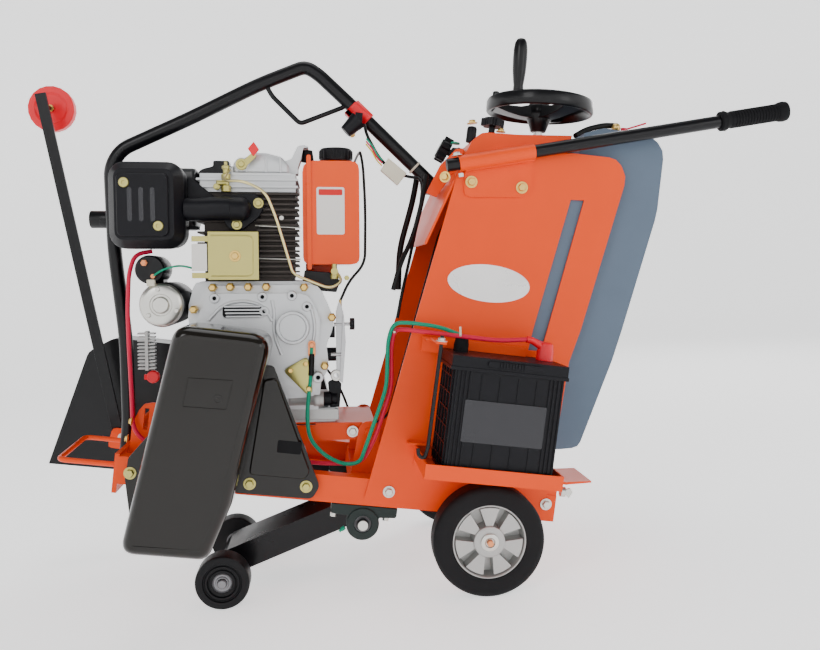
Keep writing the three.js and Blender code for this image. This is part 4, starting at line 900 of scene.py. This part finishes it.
def chassis_details():
    """Bolt heads along the rails, the front slot plates' studs, bearing bolts, nipple and rear wing nut."""
    silver = Kit()
    for x, y, z in ((-181, -172, 57), (112, -172, 60), (-254, -98, 146), (-181, 172, 57), (112, 172, 60)):
        silver.bolt((x, y, z), (0, 1 if y > 0 else -1, 0), 13)
    for x in (-275, -179):
        silver.turned([(0, 0), (6, 0), (6, 7), (0, 7)], (x, -155, 6), (0, 0, -1), 6)
        silver.turned([(0, 0), (6, 0), (6, 7), (0, 7)], (x, 162, 6), (0, 0, -1), 6)
    silver.turned([(0, -180), (9.2, -180), (9.2, -170), (0, -170)], (-221, 0, -7), "Y", 24)
    silver.turned([(0, 140), (9.5, 140), (9.5, 149), (0, 149)], (0, -160, 83), "X", 12)
    silver.plate(curved([(150, 78), (158, 72, 2), (164, 84, 3), (158, 92, 3), (150, 88)]), -162, -158)
    silver.bolt((-722, 139, 40), (0, -1, 0), 11)
    silver.done("chassis_bolts", "bright_zinc", bevel=0.5)
    nipple = Kit()
    nipple.turned([(0, 0), (4, 0), (4, 6), (2.6, 8), (2.6, 12), (0, 12)], (-252, -155, -20),
        (-0.7, 0, -0.7), 12)
    nipple.done("grease_nipple", "cable_green")
    gold = Kit()
    for x, z in ((-650, 104), (-646, 136)):
        gold.bolt((x, -150, z), (-1, 0, 0), 9)
    gold.done("front_studs", "yellow_zinc", bevel=0.4)
    rods = Kit()
    rods.tube([(-660, -98, 43), (-779, -98, 43), (-786, 98, 43), (-660, 98, 43)], 4.9, bend=16, sides=16)
    rods.done("front_loop_rod", "frame_orange")


def arm_bearings():
    """Cast pillow blocks of the swing arm with their insert rings."""
    for side in (NEAR, FAR):
        word = "left" if side == NEAR else "right"
        near, far = (-171, -137) if side == NEAR else (137, 171)
        kit = Kit()
        kit.ring([(15.5, near), (28, near), (30, near + 2), (30, far - 2), (28, far), (15.5, far)],
            (-221, 0, -7), "Y", 48)
        kit.plate(curved([(-281, 8, 5), (-250, 6), (-245, -14), (-197, -14), (-192, 6), (-161, 8, 5),
            (-161, 26), (-281, 26)]),
                  near + 3, far - 3)
        kit.done("pillow_block_" + word, "dark_iron", replaces=["arm_bearing_" + word], bevel=1.2, angle=40)
        insert = Kit()
        insert.ring([(10.3, near + 2), (14, near), (15.3, near + 2), (20, near + 4), (21, near + 6),
            (21, far), (10.3, far)],
                    (-221, 0, -7), "Y", 48)
        insert.done("bearing_insert_" + word, "grey_iron", angle=40)


def battery_details():
    """Ribbed case, carrying strap, caps on the posts, blank label, hold-down bar and hooked rod."""
    case = Kit()
    x0, x1, y0 = -112, 72, -310
    for i in range(6):
        x = x0 + 14 + i * 31
        case.box(x, x + 1.6, y0 - 1.4, y0 + 1, 132, 300)
    for z in (150, 178, 206, 234, 262, 290):
        case.box(x0 - 2.5, x0 + 1, -304, -190, z, z + 3)
    for y in (-302, -272, -242, -212, -192):
        case.box(x0 - 3, x0 + 1, y, y + 3, 134, 306)
    case.box(x0 - 8.5, x1 + 6.5, y0 - 5.5, -180, 305, 311)
    case.plate(soft_box(-60, 34, 315, 325, 4.8), -317, -313)
    for i in range(9):
        case.box(-40 + i * 5, -37.5 + i * 5, -318.6, -316, 315, 325)
    case.done("battery_ribs", "black_plastic", bevel=0.5)
    label = Kit()
    label.plate(soft_box(-90, 48, 188, 258, 2), -312.6, -311)
    label.done("battery_label", DARK_LABEL_AND_SHADE, slot="black_plastic")
    negative = Kit()
    negative.turned([(0, 328), (13, 328), (13, 340), (10.5, 356), (7, 358), (0, 358)], (-92, -226, 0),
        "Z", 24)
    negative.done("negative_cap", "rubber_black", bevel=1)
    positive = Kit()
    positive.turned([(0, 328), (15, 328), (15, 343), (12.5, 358), (8, 361), (0, 361)], (58, -226, 0), "Z",
        24)
    positive.tube([(50, -228, 352), (30, -232, 362), (20, -233, 363)], 6.2, bend=8)
    positive.done("positive_cap", "red_plastic", bevel=1.5)
    bar = Kit()
    bar.box(-156, 34, -190, -186, 318, 346)
    bar.box(-156, -120, -250, -186, 342, 346)
    bar.box(-150, -133, -320, -240, 344, 348)
    bar.box(-160, -120, -190, -172, 150, 154)
    bar.done("hold_down_bar", "cover_orange", bevel=0.8)
    rod = Kit()
    rod.tube([(-141, -314, 358), (-141, -314, 330), (-142, -312, 170), (-146, -312, 154),
        (-156, -312, 158), (-158, -312, 170)],
             3.2, bend=10)
    rod.done("hook_rod", "black_coat")
    nut = Kit()
    nut.bolt((-141, -314, 348), (0, 0, 1), 11)
    nut.done("hold_down_nut", "bright_zinc", bevel=0.5)


def column_details():
    """Handle clamp bolts, blank oval badge, the bail's gusset and the fittings on the sloping dash."""
    gold = Kit()
    for side in (NEAR, FAR):
        for x, z in ((-101, 627), (-9, 629)):
            gold.bolt((x, side * 177.5, z), (0, side, 0), 13)
    gold.bolt((-146, -158, 632), (-0.5, -1, 0), 12)
    gold.bolt((-36, -60, 744), (0, 0, 1), 11)
    gold.bolt((-93, -60, 752), (-0.2, 0, 1), 12)
    gold.done("handle_bolts", "yellow_zinc", bevel=0.5)
    silver = Kit()
    for side in (NEAR, FAR):
        silver.bolt((-134, side * 190, 667), (-0.29, 0, 0.96), 11)
        silver.turned([(0, 0), (5, 0), (5, 7), (0, 7)], (-124, side * 190, 638), (0.29, 0, -0.96), 6)
    silver.done("handle_set_screws", "bright_zinc", bevel=0.5)
    slot = Kit()
    # Painted shade: flat dark plates on the bracket's sides stand in for the shade inside its slots.
    for side in (NEAR, FAR):
        slot.plate(soft_box(-15, -8, 640, 662, 3.4), side * 172.2, side * 173.6)
    slot.done("bracket_slot_shade", DARK_LABEL_AND_SHADE, slot="cover_orange")
    badge = Kit()
    ellipse = []
    for i in range(64):
        angle = 2 * math.pi * i / 64
        ellipse.append((-46 + 75.5 * math.cos(angle), 452 + 33.5 * math.sin(angle)))
    badge.plate(ellipse, -173.4, -172.1)
    badge.done("blank_badge", BADGE, slot="cover_orange")
    post = Kit()
    post.turned([(0, 716), (9, 716), (9.5, 719), (9.5, 742), (8, 746), (0, 748)], (-92, -60, 0), "Z", 28)
    post.done("stop_button_post", "black_plastic", bevel=0.8)
    washer = Kit()
    washer.turned([(0, 715), (9, 715), (9, 718), (0, 718)], (-118, -40, -2), "Z", 24)
    washer.done("green_washer", "cable_green")
    switch = Kit()
    for y in (-44, -20):
        knob = [(0, 0), (11, 0), (12, 3), (12, 12), (9, 14), (6, 22), (0, 23)]
        switch.turned(knob, (-106, y - 10, 690), (-0.93, 0, 0.37), 10)
    switch.done("dash_switches", "black_plastic", bevel=1)
    tab = Kit()
    tab.plate(curved([(-170, 606), (-150, 600), (-112, 672), (-108, 698, 4), (-124, 694, 6),
        (-150, 660, 8)]), -100, -96)
    tab.done("bail_gusset", "cover_orange", bevel=1)


def lamp_details():
    """Clamp sleeve and its bolts, wires, connector, cable ties and the harness in the column."""
    lean = BODY @ shift(-306, 0, 751.6) @ turn_y(36.6)
    sleeve = Kit(lean)
    sleeve.turned([(0, -21), (16.4, -21), (17, -20), (17, 20), (16.4, 21), (0, 21)], (0, 0, 0), "X", 40)
    sleeve.box(-21, 21, -23, -14, -22, 6)
    sleeve.box(-21, 21, -23, 4, -22, -12)
    sleeve.done("clamp_sleeve", "red_plastic", replaces=["lamp_clamp"], bevel=1.2)
    gold = Kit()
    for x, z in ((-322, 728), (-308, 718)):
        gold.turned([(0, -12), (3, -12), (3, 22), (0, 22)], (x, -38, z), (-0.5, 0, -0.8), 12)
        gold.turned([(0, 14), (6, 14), (6, 19), (0, 19)], (x, -38, z), (-0.5, 0, -0.8), 6)
    gold.done("clamp_bolts", "yellow_zinc", bevel=0.3)
    plug = Kit()
    plug.skin([[(x0, y, z0) for x0, z0 in ((-246, 664), (-208, 640), (-222, 616),
        (-258, 640))] for y in (-78, -60)])
    plug.done("wire_connector", WHITE, slot="zinc_steel", bevel=1.5)
    for shade, offset, material, slot in (("yellow", -3, YELLOW_WIRE, "cable_black"),
        ("red", 2, FINISHES["cable_red"], "cable_red"),
                                          ("green", 7, FINISHES["cable_green"], "cable_green")):
        wire = Kit()
        wire.tube([(-290, -56, 690 + offset), (-276, -62, 676 + offset), (-268, -66, 662 + offset),
            (-256, -69, 652 + offset)], 1.5,
                  bend=8, sides=8)
        wire.done("lamp_wire_" + shade, material, slot=slot)
    ties = Kit()
    ties.ring([(13, -2), (14.6, -2), (14.6, 2), (13, 2)], (0, 0, 0), "X", 32)
    turn = Matrix.Rotation(math.radians(36.6), 4, "Y")
    for vertex in ties.mesh.verts:
        local = BODY.inverted() @ vertex.co
        vertex.co = BODY @ (turn @ local + Vector((-187, 0, 663)))
    ties.tube([(-206, -176, 346), (-200, -150, 346)], 2, sides=8)
    ties.tube([(-100, -252, 357), (-100, -240, 371)], 2, sides=8)
    ties.done("cable_ties", WHITE, slot="zinc_steel")
    harness = Kit()
    harness.tube([(-172, -90, 640), (-176, -104, 588), (-186, -112, 520), (-206, -140, 470),
        (-214, -146, 420)], 4.4, bend=30)
    harness.tube([(-176, 40, 650), (-180, 30, 600), (-196, 20, 500), (-190, 10, 420)], 6, bend=30)
    harness.done("column_harness", "cable_black")


def pointer_details():
    """Gold-coloured hub nut of the sight wheel."""
    nut = Kit()
    nut.turned([(0, -16), (7.8, -16), (7.8, -8.8), (0, -8.8)], (-949, 211, 711), "Y", 6)
    nut.done("sight_nut", "yellow_zinc", "pointer", bevel=0.5)


def water_fittings():
    """Short hose beside the tank's valve and the tank's inner step behind the panel slots."""
    hose = Kit()
    hose.tube([(196, -50, 790), (166, -56, 786), (128, -70, 770), (104, -84, 752)], 5.5, bend=20)
    hose.done("water_hose", "cable_black")
    step = Kit()
    for side in (NEAR, FAR):
        step.plate(curved([(28, 330, 8), (104, 330, 8), (146, 632, 10), (62, 632, 10)]), side * 150,
            side * 166.8)
    step.done("tank_step", "tank_grey", bevel=1.5)


# ---------------------------------------------------------------- assembly
DRESS = {
    "frame_orange": {"chassis_frame": 1.2, "battery_tray": 1.0, "engine_subframe": 1.2},
    "cover_orange": {"side_panel_left": 1.0, "side_panel_right": 1.0, "front_cover": 0.8,
        "top_console": 1.5},
    "tank_enamel": {"fuel_tank": 4.0},
    "black_coat": {"front_arm": 2.0, "pointer_bar": 0.8, "blade_guard": 1.0, "lift_tube": 1.0},
    "tank_grey": {"water_tank": 7.0},
    "black_plastic": {"battery_case": 1.6, "work_lamp": 1.5, "throttle_knob": 1.2,
                      "lock_knob": 1.2},
    "red_plastic": {"pointer_wheel": 1.5, "tank_cap": 1.2},
    "cast_aluminium": {"crankcase": 3.0, "timing_cover": 2.0, "cylinder_head": 3.0},
    "steel": {"blade_shaft": 0.8, "blade_flange": 0.8},
    "dark_iron": {"shaft_bearing_left": 2.0, "shaft_bearing_right": 2.0},
    "grey_iron": {"engine_pulley": 0.8, "blade_pulley": 0.8},
    "cylinder_dark": {"cylinder": 1.0},
    "shroud_black": {"blower_housing": 6.0},
    "brass_fitting": {"water_valve": 0.8},
    "rubber_black": {"drive_belts": 1.0},
    "cable_red": {"valve_lever": 0.5},
}
for finish_name, group in DRESS.items():
    for node_name, edge in group.items():
        dress(node_name, finish_name, edge)

for hand in (NEAR, FAR):
    rear_wheel(hand)
    front_wheel(hand)
    handle(hand)
handwheel()
bail()
cables()
air_cleaner()
intake()
exhaust()
head_details()
cylinder_details()
timing_details()
sump_details()
speed_control()
starter()
fuel_details()
belt_cover()
chassis_details()
arm_bearings()
battery_details()
column_details()
lamp_details()
pointer_details()
water_fittings()


# ---------------------------------------------------------------- studio
CAMERA_PLACE = Vector((-0.12064, -1.60256, 0.60036))
CAMERA_YAW = 5.883  # degrees towards +x
CAMERA_PITCH = 4.336  # degrees down
CAMERA_ROLL = 5.119
CAMERA_LENS = 35.572
BACKDROP_GLOW = 1.0
SKY_STRENGTH = 0.3
# Radius and height of the rings of the floor that curves up into the wall.
BACKDROP_RINGS = ((6.0, 0.0), (8.0, 0.25), (9.6, 1.2), (10.6, 3.0), (11.0, 6.0))
BACKDROP_STEPS = 64


def camera():
    """Eye-level view of the belt side, slightly turned and tilted."""
    yaw = math.radians(CAMERA_YAW)
    pitch = math.radians(CAMERA_PITCH)
    roll = math.radians(CAMERA_ROLL)
    ahead = Vector((math.sin(yaw) * math.cos(pitch), math.cos(yaw) * math.cos(pitch), -math.sin(pitch)))
    level = Vector((math.cos(yaw), -math.sin(yaw), 0))
    upright = level.cross(ahead)
    right = level * math.cos(roll) - upright * math.sin(roll)
    up = level * math.sin(roll) + upright * math.cos(roll)
    data = bpy.data.cameras.new("camera")
    data.sensor_width = 36
    data.lens = CAMERA_LENS
    data.clip_start = 0.05
    data.clip_end = 60
    view = bpy.data.objects.new("camera", data)
    view.matrix_world = Matrix((
        (right.x, up.x, -ahead.x, CAMERA_PLACE.x),
        (right.y, up.y, -ahead.y, CAMERA_PLACE.y),
        (right.z, up.z, -ahead.z, CAMERA_PLACE.z),
        (0, 0, 0, 1),
    ))
    bpy.context.scene.collection.objects.link(view)
    bpy.context.scene.camera = view


def area_light(name, place, target, size, power, colour=(1, 1, 1)):
    data = bpy.data.lights.new(name, "AREA")
    data.shape = "RECTANGLE"
    data.size, data.size_y = size
    data.energy = power
    data.color = colour
    lamp = bpy.data.objects.new(name, data)
    lamp.location = place
    lamp.rotation_euler = (Vector(target) - Vector(place)).to_track_quat("-Z", "Y").to_euler()
    bpy.context.scene.collection.objects.link(lamp)


def backdrop_paint():
    """Pale matt paint that glows a little, so that the studio stays bright behind the dark parts."""
    paint = finish("backdrop_paint", (0.86, 0.86, 0.86), 0, 0.95)
    shader = paint.node_tree.nodes["Principled BSDF"]
    shader.inputs["Emission Color"].default_value = (1, 1, 1, 1)
    shader.inputs["Emission Strength"].default_value = BACKDROP_GLOW
    return paint


def studio():
    """Pale floor that curves up into a pale wall all round, with large soft lights."""
    count = BACKDROP_STEPS
    points = [(0, 0, 0)]
    for radius, height in BACKDROP_RINGS:
        for i in range(count):
            angle = 2 * math.pi * i / count
            points.append((radius * math.cos(angle), radius * math.sin(angle), height))
    faces = [(0, 1 + i, 1 + (i + 1) % count) for i in range(count)]
    for k in range(len(BACKDROP_RINGS) - 1):
        for i in range(count):
            a = 1 + k * count + i
            b = 1 + k * count + (i + 1) % count
            faces.append((a, a + count, b + count, b))
    data = bpy.data.meshes.new("floor")
    data.from_pydata(points, [], faces)
    for face in data.polygons:
        face.use_smooth = True
    floor = bpy.data.objects.new("floor", data)
    bpy.context.scene.collection.objects.link(floor)
    floor.data.materials.append(backdrop_paint())
    world = bpy.data.worlds.new("studio_air")
    world.use_nodes = True
    sky = world.node_tree.nodes["Background"]
    sky.inputs["Color"].default_value = (0.93, 0.94, 0.96, 1)
    sky.inputs["Strength"].default_value = SKY_STRENGTH
    bpy.context.scene.world = world
    area_light("key", (-1.6, -2.6, 2.6), (0, 0, 0.4), (1.2, 1.2), 22)
    area_light("top", (0.2, 0.2, 3.2), (0, 0, 0.4), (2.2, 1.6), 26)
    area_light("rim", (1.9, 2.2, 1.8), (0, 0, 0.5), (1.4, 1.4), 26)
    area_light("fill", (2.2, -2.2, 1.2), (0.2, 0, 0.4), (1.0, 1.0), 8)


camera()
studio()
